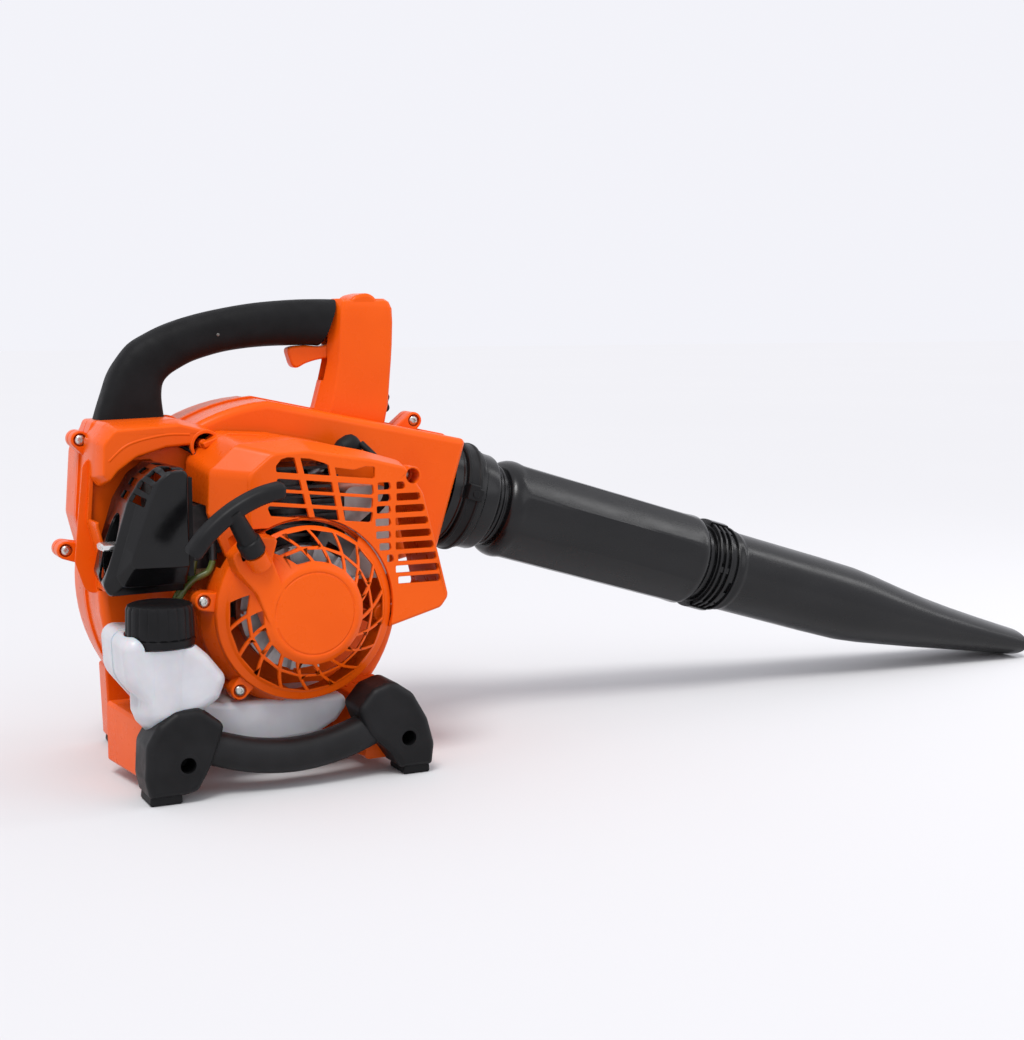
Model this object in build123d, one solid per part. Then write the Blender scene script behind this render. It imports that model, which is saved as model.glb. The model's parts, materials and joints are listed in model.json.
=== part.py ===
from build123d import *
import os
from math import atan2, cos, degrees, hypot, radians, sin, sqrt

# A hand-held petrol leaf blower, in millimetres.
# Working frame: +X is the way the air blows, -Y the engine side, +Z up. The crank axis runs
# along Y above X = 0, and Z = 0 is the floor. At the end every piece is moved so that the
# origin is the bottom centre of the blower's box.

# ---- driving dimensions ----
CRANK_Z = 127.0          # crank and fan axis above the floor
SPLIT_Y = -5.0           # where the two fan case halves and the two handle shells meet
CASE_FRONT_Y = -52.0     # engine-side wall of the fan case, outer face
CASE_BACK_Y = 55.0       # intake-side wall of the fan case, outer face
WALL = 3.0               # fan case wall
SHELL = 2.6              # cover wall
RUN = 0.05               # radial clearance of a running fit
GAP = 0.3                # clearance between pieces that don't bear on each other

TONGUE_R, TOP_R = 105.0, 150.0      # volute radius at the tongue and at the top
TONGUE_ANGLE, SPIRAL_TURN = 10.0, 280.0
SPIRAL_POWER = 1.2
EAR_ARM = 22.0           # from an ear's screw to its root
FAN_R = 93.0
INLET_R = 56.0

BORE_R, STROKE, ROD = 17.0, 28.0, 56.0
CYL_Y = -76.0            # cylinder axis
WEB_R = 25.0
JOURNAL_R, SHAFT_R = 7.5, 6.0
DECK_Z = CRANK_Z + 33.0  # crankcase deck under the cylinder
HEAD_Z = 214.0

RECOIL_R = 68.0
RECOIL_FACE_Y = -150.0
RECOIL_BACK_Y = -98.0
HUB_R = 36.0
REEL_R, ROPE_R = 30.0, 1.75
PULL = Vector(-0.504, -0.329, 0.80).normalized()   # the way the starter rope is pulled
GUIDE = Vector(-45.0, -151.0, 173.5)               # where the rope leaves the housing

COVER_FRONT_Y, COVER_BACK_Y = -130.0, -56.0

HANDLE_HALF, CORE_HALF = 17.0, 12.0   # half widths of the handle and of its core under the grip
GRIP_SKIN = 4.5
TRIGGER_PIVOT = (76.0, 316.0)

TUBE_TILT = 16.8         # the tubes point this far below the horizontal
TUBE_START = Vector(166.0, 0.0, 194.0)
NECK_R, MAIN_R, NOZZLE_R = 34.0, 42.0, 36.5
TUBE_WALL = 2.2
COLLAR_R = 38.5
MAIN_FROM, MAIN_TO = 57.0, 262.0
NOZZLE_FROM, NOZZLE_TO = 264.0, 652.0
TIP_HALF_WIDTH, TIP_HALF_HEIGHT = 35.0, 13.5

CAP_X, CAP_Y, CAP_R = -110.0, -132.0, 24.5
CAP_FROM = 110.6         # lower edge of the cap's skirt
BOOT_FRONT_Y, BOOT_BACK_Y = -158.0, -122.0


# ---- helpers: a sketch's x is X and its y is Z ----
def block(x0, x1, y0, y1, z0, z1):
    return Pos((x0 + x1) / 2, (y0 + y1) / 2, (z0 + z1) / 2) * Box(x1 - x0, y1 - y0, z1 - z0)


def slab(sketch, y0, y1):
    return extrude(Plane.XZ.offset(-max(y0, y1)) * sketch, abs(y1 - y0))


def outline(points, corner=0.0):
    face = make_face(Polyline(*points, close=True))
    return fillet(face.vertices(), corner) if corner else face


def disc(x, z, r, y0, y1):
    return Pos(x, (y0 + y1) / 2, z) * Rot(90, 0, 0) * Cylinder(r, abs(y1 - y0))


def ring(x, z, r_out, r_in, y0, y1):
    return disc(x, z, r_out, y0, y1) - disc(x, z, r_in, y0 - 1, y1 + 1)


def rod(start, end, r):
    a, b = Vector(*start), Vector(*end)
    return Plane(origin=(a + b) / 2, z_dir=b - a) * Cylinder(r, (b - a).length)


def polar(angle, r, x=0.0, z=CRANK_Z):
    return (x + r * cos(radians(angle)), z + r * sin(radians(angle)))


def tray(sketch, closed_y, open_y, wall):
    """A shell of this outline, closed by a wall at closed_y and open at open_y."""
    inward = wall if open_y > closed_y else -wall
    return slab(sketch, closed_y, open_y) - slab(offset(sketch, -wall), closed_y + inward, open_y)


def cord(points, r):
    """A tube of straight runs joined by arcs as large as the runs allow."""
    p = [Vector(*q) for q in points]
    radii = []
    for a, b, c in zip(p, p[1:], p[2:]):
        shorter = min((b - a).length, (c - b).length)
        turn = (b - a).get_angle(c - b)
        radii.append(0.45 * shorter / sin(radians(turn / 2)) * cos(radians(turn / 2)))
    path = FilletPolyline(*points, radius=radii)
    print("cord", "length", round(path.length, 1), "radii", [round(v, 1) for v in radii])
    return sweep(Plane(origin=p[0], z_dir=p[1] - p[0]) * Circle(r), path=path)


def along_tube(s):
    """The plane across the air tubes, s from their start."""
    down = radians(TUBE_TILT)
    way = Vector(cos(down), 0, -sin(down))
    return Plane(origin=TUBE_START + way * s, x_dir=(0, 1, 0), z_dir=way)


def turned(profile):
    """A piece turned about the tube axis from its (s, r) profile."""
    face = make_face(Polyline(*[(r, s) for s, r in profile], close=True))
    return along_tube(0) * revolve(Plane.XZ * face, Axis.Z)


# ---- fan case ----
def spiral_point(turn):
    r = TONGUE_R + (TOP_R - TONGUE_R) * (turn / SPIRAL_TURN) ** SPIRAL_POWER
    return polar(TONGUE_ANGLE - turn, r)


def outlet_edge(side):
    """The outlet's mouth corner in X, Z: side +1 is its top and -1 its bottom."""
    centre, across = along_tube(-12).origin, side * (MAIN_R + 4)
    down = radians(TUBE_TILT)
    return (centre.X + across * sin(down), centre.Z + across * cos(down))


def case_outline():
    arcs, spans = [], 8
    for i in range(spans):
        a, m, b = (spiral_point(SPIRAL_TURN * (i + k) / spans) for k in (0, 0.5, 1))
        arcs.append(ThreePointArc(a, m, b))
    duct = Polyline(spiral_point(SPIRAL_TURN), outlet_edge(1), outlet_edge(-1), spiral_point(0))
    shoulder = outline([(-118, 140), (-139, 190), (-135, 240), (-122, 262), (-66, 264), (-40, 230)], 5)
    return make_face(Curve() + arcs + duct) + shoulder


def air_path(y0, y1):
    return slab(offset(case_outline(), -WALL), y0, y1)


def ear_places():
    return [(-150, 166), (-137, 249), (135, 256), (100, 69)]


def ears(y0, y1):
    """Screw ears of one case half, each a barrel with an arm to the rim."""
    lugs = []
    for x, z in ear_places():
        reach = hypot(x, z - CRANK_Z)
        inner = (x * (1 - EAR_ARM / reach), CRANK_Z + (z - CRANK_Z) * (1 - EAR_ARM / reach))
        arm = Pos((x + inner[0]) / 2, (z + inner[1]) / 2)
        arm *= Rot(0, 0, degrees(atan2(z - CRANK_Z, x))) * Rectangle(EAR_ARM, 9)
        lugs.append(slab(arm, y0, y1) + disc(x, z, 7, y0, y1))
    return sum(lugs[1:], lugs[0]) - air_path(y0, y1)


def ear_holes():
    holes = [disc(x, z, 2.4, -60, 60) for x, z in ear_places()]
    return sum(holes[1:], holes[0])


def outlet_bore():
    return along_tube(0) * Pos(0, 0, -12) * Cylinder(MAIN_R - 1, 40)


def stand_leg(x_case, x_boot):
    """An orange beam from the fan case down to its boot."""
    upper = Pos(x_case, CASE_FRONT_Y, 33) * Rot(90, 0, 0) * Rectangle(44, 40)
    lower = Pos(x_boot, BOOT_BACK_Y - 6, 32) * Rot(90, 0, 0) * Rectangle(30, 36)
    return loft([Sketch() + upper, Sketch() + lower], ruled=True)


def recoil_post_places():
    return [polar(229, 76), polar(352, 74), polar(172, 76)]


def cover_post_places():
    return [(84, 223), (-46, 236)]


def fan_case_engine_side():
    half = tray(case_outline(), CASE_FRONT_Y, SPLIT_Y, WALL)
    half += ears(SPLIT_Y - 9, SPLIT_Y)
    half -= disc(0, CRANK_Z, 20, CASE_FRONT_Y - 1, CASE_FRONT_Y + WALL + 1)
    half -= outlet_bore()
    half += stand_leg(-108, -103) + stand_leg(62, 62)
    for x, z in recoil_post_places():
        half += disc(x, z, 5, CASE_FRONT_Y, -108)
    for x, z in cover_post_places():
        half += disc(x, z, 5, CASE_FRONT_Y, COVER_FRONT_Y + SHELL)
    return half - ear_holes() - cable_way()


def rear_foot(x):
    return block(x - 14, x + 14, 30, 52, 6, 62)


def fan_case_intake_side():
    half = tray(case_outline(), CASE_BACK_Y, SPLIT_Y, WALL)
    half += ears(SPLIT_Y, SPLIT_Y + 9)
    half -= disc(0, CRANK_Z, INLET_R, CASE_BACK_Y - WALL - 1, CASE_BACK_Y + 1)
    half -= outlet_bore()
    half += (rear_foot(-98) + rear_foot(62)) - slab(case_outline(), SPLIT_Y, CASE_BACK_Y)
    return half - ear_holes()


def intake_grille():
    """Domed grille over the fan inlet: rings of slots between radial ribs."""
    y = CASE_BACK_Y
    profile = [(0, 20), (38, 20), (60, 8), (60, 4), (66, 4), (66, 0), (57.4, 0), (57.4, 6.5), (37, 17.4),
               (0, 17.4)]
    dome = revolve(Plane.XZ * make_face(Polyline(*profile, close=True)), Axis.Z)
    dome = Pos(0, y, CRANK_Z) * Rot(-90, 0, 0) * dome
    slots = Sketch()
    for r in (16, 26, 36, 46):
        slots += Circle(r + 7) - Circle(r)
    for i in range(12):
        slots -= Rot(0, 0, i * 30) * Rectangle(120, 3.4)
    return dome - slab(Pos(0, CRANK_Z) * slots, y + 1, y + 25)


def case_screws():
    """Pan head screws of one size: case ears, recoil housing and engine cover."""
    screws = []
    for x, z in ear_places():
        screws.append(disc(x, z, 2.1, SPLIT_Y - 9, SPLIT_Y + 8) + disc(x, z, 4.2, SPLIT_Y - 12.4, SPLIT_Y - 9))
    for x, z in recoil_post_places():
        screws.append(disc(x, z, 2.1, -124, -108) + disc(x, z, 4.2, -127.4, -124))
    for x, z in cover_post_places():
        screws.append(disc(x, z, 4.2, COVER_FRONT_Y - 3.4, COVER_FRONT_Y))
    return Compound(children=screws)


# ---- handle ----
HANDLE_OUTER = [(-120, 264), (-114, 289), (-107, 306), (-96, 320), (-70, 334), (-38, 344), (-5, 351),
                (36, 354), (68, 354)]
HANDLE_INNER = [(53, 318), (27, 318), (-6, 316), (-38, 309), (-61, 299), (-71, 288), (-72, 264)]
COLUMN = [(68, 354), (77, 354), (84, 358), (94, 359.5), (105, 356), (113, 351), (116, 343), (112, 279),
          (106, 238), (40, 246), (53, 274), (63, 304), (60, 318), (53, 318)]


FOOT = [(-133, 240), (-131, 263.8), (-70, 263.8), (-70, 236), (-90, 234)]


def grip_outline():
    return outline(HANDLE_OUTER + HANDLE_INNER)


def frame_outline():
    """The handle shells: the core under the grip, the column and the foot on the case."""
    core = offset(grip_outline(), -GRIP_SKIN, kind=Kind.INTERSECTION)
    joint = outline([(45, 348), (72, 349), (72, 324), (45, 323)])
    foot = outline(FOOT)
    core_foot = outline([(-114, 262), (-110, 275), (-77, 275), (-77, 262)])
    return core + joint + outline(COLUMN) + foot + core_foot


def frame_half(sign):
    """One handle shell: sign -1 is the engine side."""
    inner_y, core_y, full_y = SPLIT_Y, SPLIT_Y + sign * CORE_HALF, SPLIT_Y + sign * HANDLE_HALF
    wide = outline(COLUMN) + outline(FOOT)
    solid = slab(frame_outline(), inner_y, core_y) + slab(wide, inner_y, full_y)
    hollow = slab(offset(frame_outline(), -2.6), inner_y, core_y - sign * 2.6)
    solid -= hollow
    solid -= slab(case_outline(), -60, 60) + ears(SPLIT_Y - 9.1, SPLIT_Y + 9.1)
    return solid - trigger_window() - trigger_pin_hole() - cable_way() - switch_window()


def trigger_window():
    return block(20, 82, SPLIT_Y - 6.6, SPLIT_Y + 6.6, 296, 336)


def trigger_pin_hole():
    x, z = TRIGGER_PIVOT
    return disc(x, z, 2.3, -40, 40)


CABLE = [(66, -5, 331), (32, -5, 337), (-6, -5, 333), (-44, -5, 325), (-76, -5, 312), (-94, -6, 284),
         (-92, -14, 256), (-78, -46, 250), (-59, -68, 238), (-58, -74, 212)]


def cable_way():
    """The clear hole that the throttle cable passes through in shells and case."""
    return cord(CABLE, 3.4)


def switch_window():
    return block(104, 120, SPLIT_Y - 6, SPLIT_Y + 6, 262, 280)


def handle_shell_engine_side():
    """Engine-side shell with the shroud that arches over the air filter."""
    shroud = outline([(-137, 222), (-134, 262), (-72, 266), (-56, 256), (-55, 244), (-64, 240), (-78, 247),
                      (-106, 245), (-124, 232)])
    panel = slab(shroud, -64, -61)
    crest = shroud - Pos(2, -3.2) * shroud
    bridge = block(-129, -74, -64, SPLIT_Y - HANDLE_HALF, 262.2, 265.4)
    arch = panel + slab(crest, -61.5, CASE_FRONT_Y) + bridge
    return frame_half(-1) + (arch - cable_way() - slab(case_outline(), CASE_FRONT_Y, SPLIT_Y))


def handle_shell_intake_side():
    return frame_half(1)


def handle_grip():
    sleeve = slab(grip_outline(), SPLIT_Y - HANDLE_HALF, SPLIT_Y + HANDLE_HALF)
    sleeve -= slab(frame_outline(), SPLIT_Y - CORE_HALF, SPLIT_Y + CORE_HALF)
    wide = outline(COLUMN) + outline([(-134, 230), (-132, 263.8), (-60, 263.8), (-60, 230)])
    return sleeve - slab(wide, -40, 40) - trigger_window()


def throttle_trigger():
    blade = outline([(30, 315.5), (31.5, 305), (36, 300), (46, 303.5), (56, 306.5), (70, 308), (82, 309),
                     (82, 326), (73, 333), (69, 322), (60, 317)])
    x, z = TRIGGER_PIVOT
    return slab(blade, SPLIT_Y - 6, SPLIT_Y + 6) - disc(x, z, 2 + RUN, -20, 20)


def trigger_pin():
    x, z = TRIGGER_PIVOT
    return disc(x, z, 2, SPLIT_Y - CORE_HALF - 4, SPLIT_Y + CORE_HALF + 4)


def throttle_cable():
    return cord(CABLE, 1.8)


def stop_switch():
    x, z = 114.0, 271.0
    rocker = Pos(x, SPLIT_Y, z) * Box(6, 11, 17)
    return rocker + rod((x - 3, SPLIT_Y - 5.5, z), (x - 3, SPLIT_Y + 5.5, z), 2.4)


# ---- crank train ----
def crankcase():
    front, back = CYL_Y - 24, CASE_FRONT_Y
    body = disc(0, CRANK_Z, 35, front, back) + block(-27, 27, front + 2, back, CRANK_Z, DECK_Z)
    body += block(-42, 42, back - 8, back, CRANK_Z - 14, CRANK_Z + 14)
    body -= disc(0, CRANK_Z, WEB_R + 3, CYL_Y - 13, CYL_Y + 13)
    body -= block(-60, 60, front - 1, back + 1, DECK_Z, DECK_Z + 20)
    body -= Pos(0, CYL_Y, DECK_Z - 10) * Cylinder(20.4, 40)
    body -= disc(0, CRANK_Z, 16, front - 1, CYL_Y - 15) + disc(0, CRANK_Z, 16, CYL_Y + 15, back + 1)
    return body - disc(0, CRANK_Z, 10, front - 1, back + 1)


def crank_bearings():
    pair = [ring(0, CRANK_Z, 15.8, JOURNAL_R + RUN, y, y + 8) for y in (CYL_Y - 23.5, CYL_Y + 15.5)]
    return Compound(children=pair)


def crankshaft_front_half():
    shaft = disc(0, CRANK_Z, WEB_R, CYL_Y - 12, CYL_Y - 4)
    shaft += disc(0, CRANK_Z, JOURNAL_R, CYL_Y - 25, CYL_Y - 12)
    return shaft + disc(0, CRANK_Z, SHAFT_R, -131, CYL_Y - 25)


def crankshaft_rear_half():
    shaft = disc(0, CRANK_Z, WEB_R, CYL_Y + 4, CYL_Y + 12)
    shaft += disc(0, CRANK_Z, JOURNAL_R, CYL_Y + 12, -46)
    return shaft + disc(0, CRANK_Z, SHAFT_R, -46, 30)


def hex_nut(y0, y1, across):
    nut = slab(Pos(0, CRANK_Z) * RegularPolygon(across / sqrt(3), 6), y0, y1)
    return nut - disc(0, CRANK_Z, SHAFT_R + RUN, y0 - 1, y1 + 1)


def shaft_nuts():
    return Compound(children=[hex_nut(-130, -126.2, 18), hex_nut(22, 28, 18)])


def flywheel():
    wheel = disc(0, CRANK_Z, 46, -116, -104) - ring(0, CRANK_Z, 38, 15, -110, -103)
    wheel += disc(0, CRANK_Z, 13, -124, -104)
    for i in range(14):
        vane = Rot(0, i * 360 / 14, 0) * Rot(0, 0, 0) * block(24, 46, -124, -115.9, -1.2, 1.2)
        wheel += Pos(0, 0, CRANK_Z) * vane
    return wheel - disc(0, CRANK_Z, SHAFT_R + RUN, -130, -100)


def starter_cup():
    cup = disc(0, CRANK_Z, 20, -132.6, -124.1) - disc(0, CRANK_Z, 17, -140, -126.1)
    for i in range(3):
        notch = Rot(0, i * 120, 0) * block(15, 22, -140, -128, -4, 4)
        cup -= Pos(0, 0, CRANK_Z) * notch
    return cup - disc(0, CRANK_Z, SHAFT_R + RUN, -130, -120)


def fan_impeller():
    wheel = disc(0, CRANK_Z, FAN_R, -41, -37) + disc(0, CRANK_Z, 17, -37, 22)
    for i in range(14):
        blade = Rot(0, i * 360 / 14, 0) * (Pos(67, -5, 0) * Rot(0, 24, 0) * Box(64, 66, 2.6))
        wheel += Pos(0, 0, CRANK_Z) * blade
    wheel &= disc(0, CRANK_Z, FAN_R, -41, 40)
    return wheel - disc(0, CRANK_Z, SHAFT_R + RUN, -50, 40)


def crank_pin():
    return disc(0, CRANK_Z + STROKE / 2, 5, CYL_Y - 3.9, CYL_Y + 3.9)


GUDGEON_Z = CRANK_Z + STROKE / 2 + ROD


def connecting_rod():
    low, high = CRANK_Z + STROKE / 2, GUDGEON_Z
    rod_body = disc(0, low, 10, CYL_Y - 3.5, CYL_Y + 3.5) + disc(0, high, 7.5, CYL_Y - 3.5, CYL_Y + 3.5)
    rod_body += block(-4, 4, CYL_Y - 2.5, CYL_Y + 2.5, low, high)
    return rod_body - disc(0, low, 5 + RUN, -90, -60) - disc(0, high, 4 + RUN, -90, -60)


def gudgeon_pin():
    return disc(0, GUDGEON_Z, 4, CYL_Y - 14, CYL_Y + 14)


def piston():
    top, skirt = GUDGEON_Z + 15, GUDGEON_Z - 13
    body = Pos(0, CYL_Y, (top + skirt) / 2) * Cylinder(BORE_R - RUN, top - skirt)
    body -= Pos(0, CYL_Y, (top + skirt) / 2 - 4) * Cylinder(BORE_R - 3, top - skirt)
    body += rod((0, CYL_Y - 15.5, GUDGEON_Z), (0, CYL_Y - 9, GUDGEON_Z), 6)
    body += rod((0, CYL_Y + 9, GUDGEON_Z), (0, CYL_Y + 15.5, GUDGEON_Z), 6)
    body -= disc(0, GUDGEON_Z, 4 + RUN, -110, -40)
    for z in (top - 3, top - 6.5):
        body -= Pos(0, CYL_Y, z) * (Cylinder(BORE_R + 1, 1.6) - Cylinder(BORE_R - 1.8, 2))
    return body


def piston_rings():
    top = GUDGEON_Z + 15
    ring_solid = Cylinder(BORE_R - RUN, 1.3) - Cylinder(BORE_R - 1.6, 2)
    pair = [Pos(0, CYL_Y, z) * ring_solid for z in (top - 3, top - 6.5)]
    return Compound(children=pair)


def cylinder():
    liner = Pos(0, CYL_Y, (150 + HEAD_Z + 8) / 2) * Cylinder(20, HEAD_Z + 8 - 150)
    flange = block(-26, 26, CYL_Y - 22, CYL_Y + 22, DECK_Z, DECK_Z + 5)
    body = liner + flange + Pos(0, CYL_Y, HEAD_Z + 8) * Cylinder(13, 15)
    for i in range(9):
        body += block(-38, 38, CYL_Y - 22, CYL_Y + 22, 170 + 7.2 * i, 172.2 + 7.2 * i)
    body += block(-40, -18, CYL_Y - 15, CYL_Y + 15, 176, 200) + block(18, 41, CYL_Y - 15, CYL_Y + 15, 182, 204)
    body -= Pos(0, CYL_Y, (140 + HEAD_Z) / 2) * Cylinder(BORE_R, HEAD_Z - 140)
    body -= rod((-45, CYL_Y, 188), (-12, CYL_Y, 188), 7) + rod((12, CYL_Y, 193), (45, CYL_Y, 193), 8)
    return body - rod(plug_point(0), plug_point(14), 8) - rod(plug_point(14), plug_point(70), 10.5)


def cylinder_bolts():
    bolts = []
    for x in (-22.5, 22.5):
        for y in (CYL_Y - 18.5, CYL_Y + 18.5):
            bolts.append(Pos(x, y, DECK_Z + 7) * Cylinder(3.2, 4))
    return Compound(children=bolts)


def plug_point(s):
    """A point on the spark plug's axis, s from its seat."""
    lean = radians(60)
    return (17 + s * sin(lean), CYL_Y, 219 + s * cos(lean))


def spark_plug():
    body = rod(plug_point(4), plug_point(13), 7.6) + rod(plug_point(13), plug_point(34), 5)
    return body


def spark_plug_boot():
    cap = rod(plug_point(18), plug_point(50), 9)
    return cap - rod(plug_point(17), plug_point(36), 5.3)


def ignition_coil():
    x, z = polar(58, 54.5)
    turn = Pos(x, z) * Rot(0, 0, 58 - 90)
    core = turn * (Rectangle(30, 14) - Pos(0, -6) * Rectangle(12, 8))
    return slab(core, -116, -103) - disc(0, CRANK_Z, 46.6, -120, -100)


def ignition_lead():
    route = [(46, -110, 181), (56, -115, 190), (70, -114, 202), (75, -107, 217), (73, -95, 231), (63, -82, 244)]
    return cord(route, 2.6)


def muffler():
    can = block(42, 78, CYL_Y - 24, CYL_Y + 18, 142, 213)
    can = fillet(can.edges().filter_by(Axis.Y), 8)
    return can + rod((70, CYL_Y, 160), (86, CYL_Y, 160), 6)


# ---- intake ----
def intake_insulator():
    return block(-52, -40, CYL_Y - 15, CYL_Y + 15, 174, 202) - rod((-60, CYL_Y, 188), (-30, CYL_Y, 188), 7)


def carburettor():
    body = block(-80, -52, CYL_Y - 16, CYL_Y + 16, 168, 204)
    x, y = -66, CYL_Y + 2
    body += rod((x, y, 168), (x, y, 156), 11) - rod((x, y, 166), (x, y, 150), 8.6)
    for x, y in ((-74, -97), (-62, -103)):
        body += rod((x, y, 165), (x, y, 177), 3) + rod((x, y, 173.5), (x, -90, 173.5), 2.2)
    body -= rod((-90, CYL_Y, 188), (-40, CYL_Y, 188), 7)
    return body - rod((-62, CYL_Y + 4, 196), (-62, CYL_Y + 4, 206), 3 + RUN)


def throttle_lever():
    x, y = -62, CYL_Y + 4
    return rod((x, y, 197), (x, y, 206), 3) + block(x - 4, x + 4, y - 10, y + 4, 206, 208.4)


def primer_bulb():
    return rod((-66, CYL_Y + 2, 161), (-66, CYL_Y + 2, 153), 8) + Pos(-66, CYL_Y + 2, 153) * Sphere(8)


FILTER_FRONT_Y, FILTER_BACK_Y = -121.0, -57.0
CHOKE_Y, CHOKE_Z = -88.0, 177.0
FILTER_SIDE = [(-84, 150), (-84, 230), (-100, 235), (-122, 226), (-140, 200), (-148, 170), (-146, 154), (-128, 146),
               (-100, 145.5)]


def air_filter_base():
    plate = block(-84, -80, FILTER_FRONT_Y + 5, FILTER_BACK_Y - 2, 156, 227)
    plate -= rod((-90, CYL_Y, 188), (-70, CYL_Y, 188), 7)
    return plate - rod((-90, CHOKE_Y, CHOKE_Z), (-75, CHOKE_Y, CHOKE_Z), 2 + RUN)


def air_filter_element():
    pad = block(-104, -84, FILTER_FRONT_Y + 10, FILTER_BACK_Y - 7, 157, 220)
    return pad - rod((-110, CHOKE_Y, CHOKE_Z), (-80, CHOKE_Y, CHOKE_Z), 4)


def air_filter_cover():
    cover = tray(outline(FILTER_SIDE, 3), FILTER_FRONT_Y, FILTER_BACK_Y, SHELL)
    cover += slab(offset(outline(FILTER_SIDE, 3), -SHELL), FILTER_BACK_Y - SHELL, FILTER_BACK_Y)
    window = SlotOverall(46, 30, rotation=90)
    cover -= Plane(origin=(-160, CHOKE_Y, CHOKE_Z + 2), z_dir=(1, 0, 0), x_dir=(0, -1, 0)) * extrude(window, 40)
    cover -= block(-90, -79, FILTER_FRONT_Y + SHELL, FILTER_BACK_Y - SHELL, 148.5, 231)
    return cover


def choke_lever():
    shaft = rod((-81, CHOKE_Y, CHOKE_Z), (-140, CHOKE_Y, CHOKE_Z), 2)
    blade = block(-144, -140, CHOKE_Y - 11, CHOKE_Y + 11, CHOKE_Z - 3, CHOKE_Z + 3)
    return shaft + fillet(blade.edges().filter_by(Axis.X), 2.5)


# ---- recoil starter ----
def recoil_profile():
    face, back = RECOIL_FACE_Y, RECOIL_BACK_Y
    outer = [(0, face), (HUB_R - 1, face), (HUB_R, face + 1), (63, -131), (RECOIL_R, -126), (RECOIL_R, back)]
    r = RECOIL_R - SHELL
    inner = [(r, back), (r, -125), (61.6, -128.6), (HUB_R - 2.2, face + SHELL), (0, face + SHELL)]
    return outer + inner


# the solid wedge of the housing that carries the rope guide, and the rope's own route
TOWER = [(-14, 161), (-24, 188), (-44, 187), (-58, 172), (-52, 150), (-32, 146)]
ROPE = [(-8, -142.5, 158.3), tuple(GUIDE - PULL * 7), tuple(GUIDE + PULL * 9)]


def lug_arm(x, z, width):
    arm = Pos(x * 0.94, CRANK_Z + (z - CRANK_Z) * 0.94)
    return arm * Rot(0, 0, degrees(atan2(z - CRANK_Z, x))) * Rectangle(12, width)


def recoil_housing():
    turned_face = make_face(Polyline(*[(r, -y) for r, y in recoil_profile()], close=True))
    cup = revolve(Plane.XZ * turned_face, Axis.Z)
    cup = Pos(0, 0, CRANK_Z) * Rot(90, 0, 0) * cup
    slots = (Circle(60.5) - Circle(50)) + (Circle(48) - Circle(38))
    for i in range(18):
        slots -= Rot(0, 0, 8.5 + i * 20) * Pos(48.2, -6.2) * Rot(0, 0, 26.7) * Rectangle(34, 2.8)
    slots -= outline([(0, 0), polar(112, 90, 0, 0), polar(140, 90, 0, 0), polar(168, 90, 0, 0)])
    cup -= slab(Pos(0, CRANK_Z) * slots, RECOIL_FACE_Y - 2, -120)
    engine_side = outline([(0, CRANK_Z), (90, CRANK_Z - 20), (90, 260), (-70, 260), (-62, 165)])
    cup -= slab(engine_side, -114, RECOIL_BACK_Y + 1)
    for x, z in recoil_post_places():
        cup += slab(lug_arm(x, z, 13), -124, -116) - disc(0, CRANK_Z, RECOIL_R - 1, -130, -90)
        cup += disc(x, z, 6.5, -124, -108)
        cup -= disc(x, z, 2.4, -130, -100)
    cup += slab(outline(TOWER), RECOIL_FACE_Y, -128)
    cup -= cord(ROPE, 3)
    cup += disc(0, CRANK_Z, SHAFT_R, RECOIL_FACE_Y + 1, -133.6)
    cup -= rod(GUIDE - PULL * 0.5, GUIDE + PULL * 45, 9.6)
    return cup - rod(GUIDE - PULL * 4, GUIDE + PULL * 12, 5.3)


def rope_guide():
    """Eyelet that the rope leaves through."""
    sleeve = rod(GUIDE - PULL * 3, GUIDE + PULL * 2, 5)
    return sleeve - rod(GUIDE - PULL * 9, GUIDE + PULL * 9, ROPE_R + 0.6)


def recoil_spring():
    """Spiral strip between the hub and the reel, in half turns."""
    turns, pitch, start, strip = 5, 3.2, 8.5, 0.8
    coil = Sketch()
    for i in range(2 * turns):
        r, x = start + i * pitch / 2, pitch / 2 if i % 2 else 0.0
        half = Pos(x, 0) * (Circle(r + strip) - Circle(r))
        side = 1 if i % 2 == 0 else -1
        coil += half & (Pos(0, side * 50) * Rectangle(200, 100))
    return slab(Pos(0, CRANK_Z) * coil, -147.2, -144.4)


def starter_reel():
    reel = disc(0, CRANK_Z, REEL_R, -144, -134)
    reel -= ring(0, CRANK_Z, REEL_R + 1, 22, -141.6, -136.4)
    return reel - disc(0, CRANK_Z, SHAFT_R + RUN, -150, -130)


def rope_winding():
    return ring(0, CRANK_Z, 28.5, 22.3, -141.2, -136.8)


def starter_pawl():
    """Dog on the reel's back that reaches into the cup."""
    pivot_x = 9.5
    arm = Pos(pivot_x, CRANK_Z) * (Circle(3.2) + Pos(2, 4.5) * Rectangle(4, 8))
    return slab(arm, -133.7, -130.3)


def starter_rope():
    """The rope's short lead from the reel to the handle."""
    return cord(ROPE, ROPE_R)


def starter_handle():
    """T grip: a curved bar on a stem, with the rope's hole along the stem."""
    foot, head = GUIDE + PULL * 2.4, GUIDE + PULL * 42
    stem = Plane(origin=foot, z_dir=PULL) * (Pos(0, 0, 20) * Cylinder(7.5, 40))
    stem += Plane(origin=foot, z_dir=PULL) * (Pos(0, 0, 6) * Cylinder(9, 12))
    across = Vector(0.806, -0.01, 0.592)
    across = (across - PULL * across.dot(PULL)).normalized()
    low, high = head - across * 40 - PULL * 7, head + across * 40 - PULL * 7
    bar_path = ThreePointArc(low, head + PULL * 2, high)
    bar = sweep(Plane(origin=low, z_dir=bar_path % 0) * Circle(6.4), path=bar_path)
    return stem + bar - rod(GUIDE, GUIDE + PULL * 12, ROPE_R + GAP)


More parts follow.
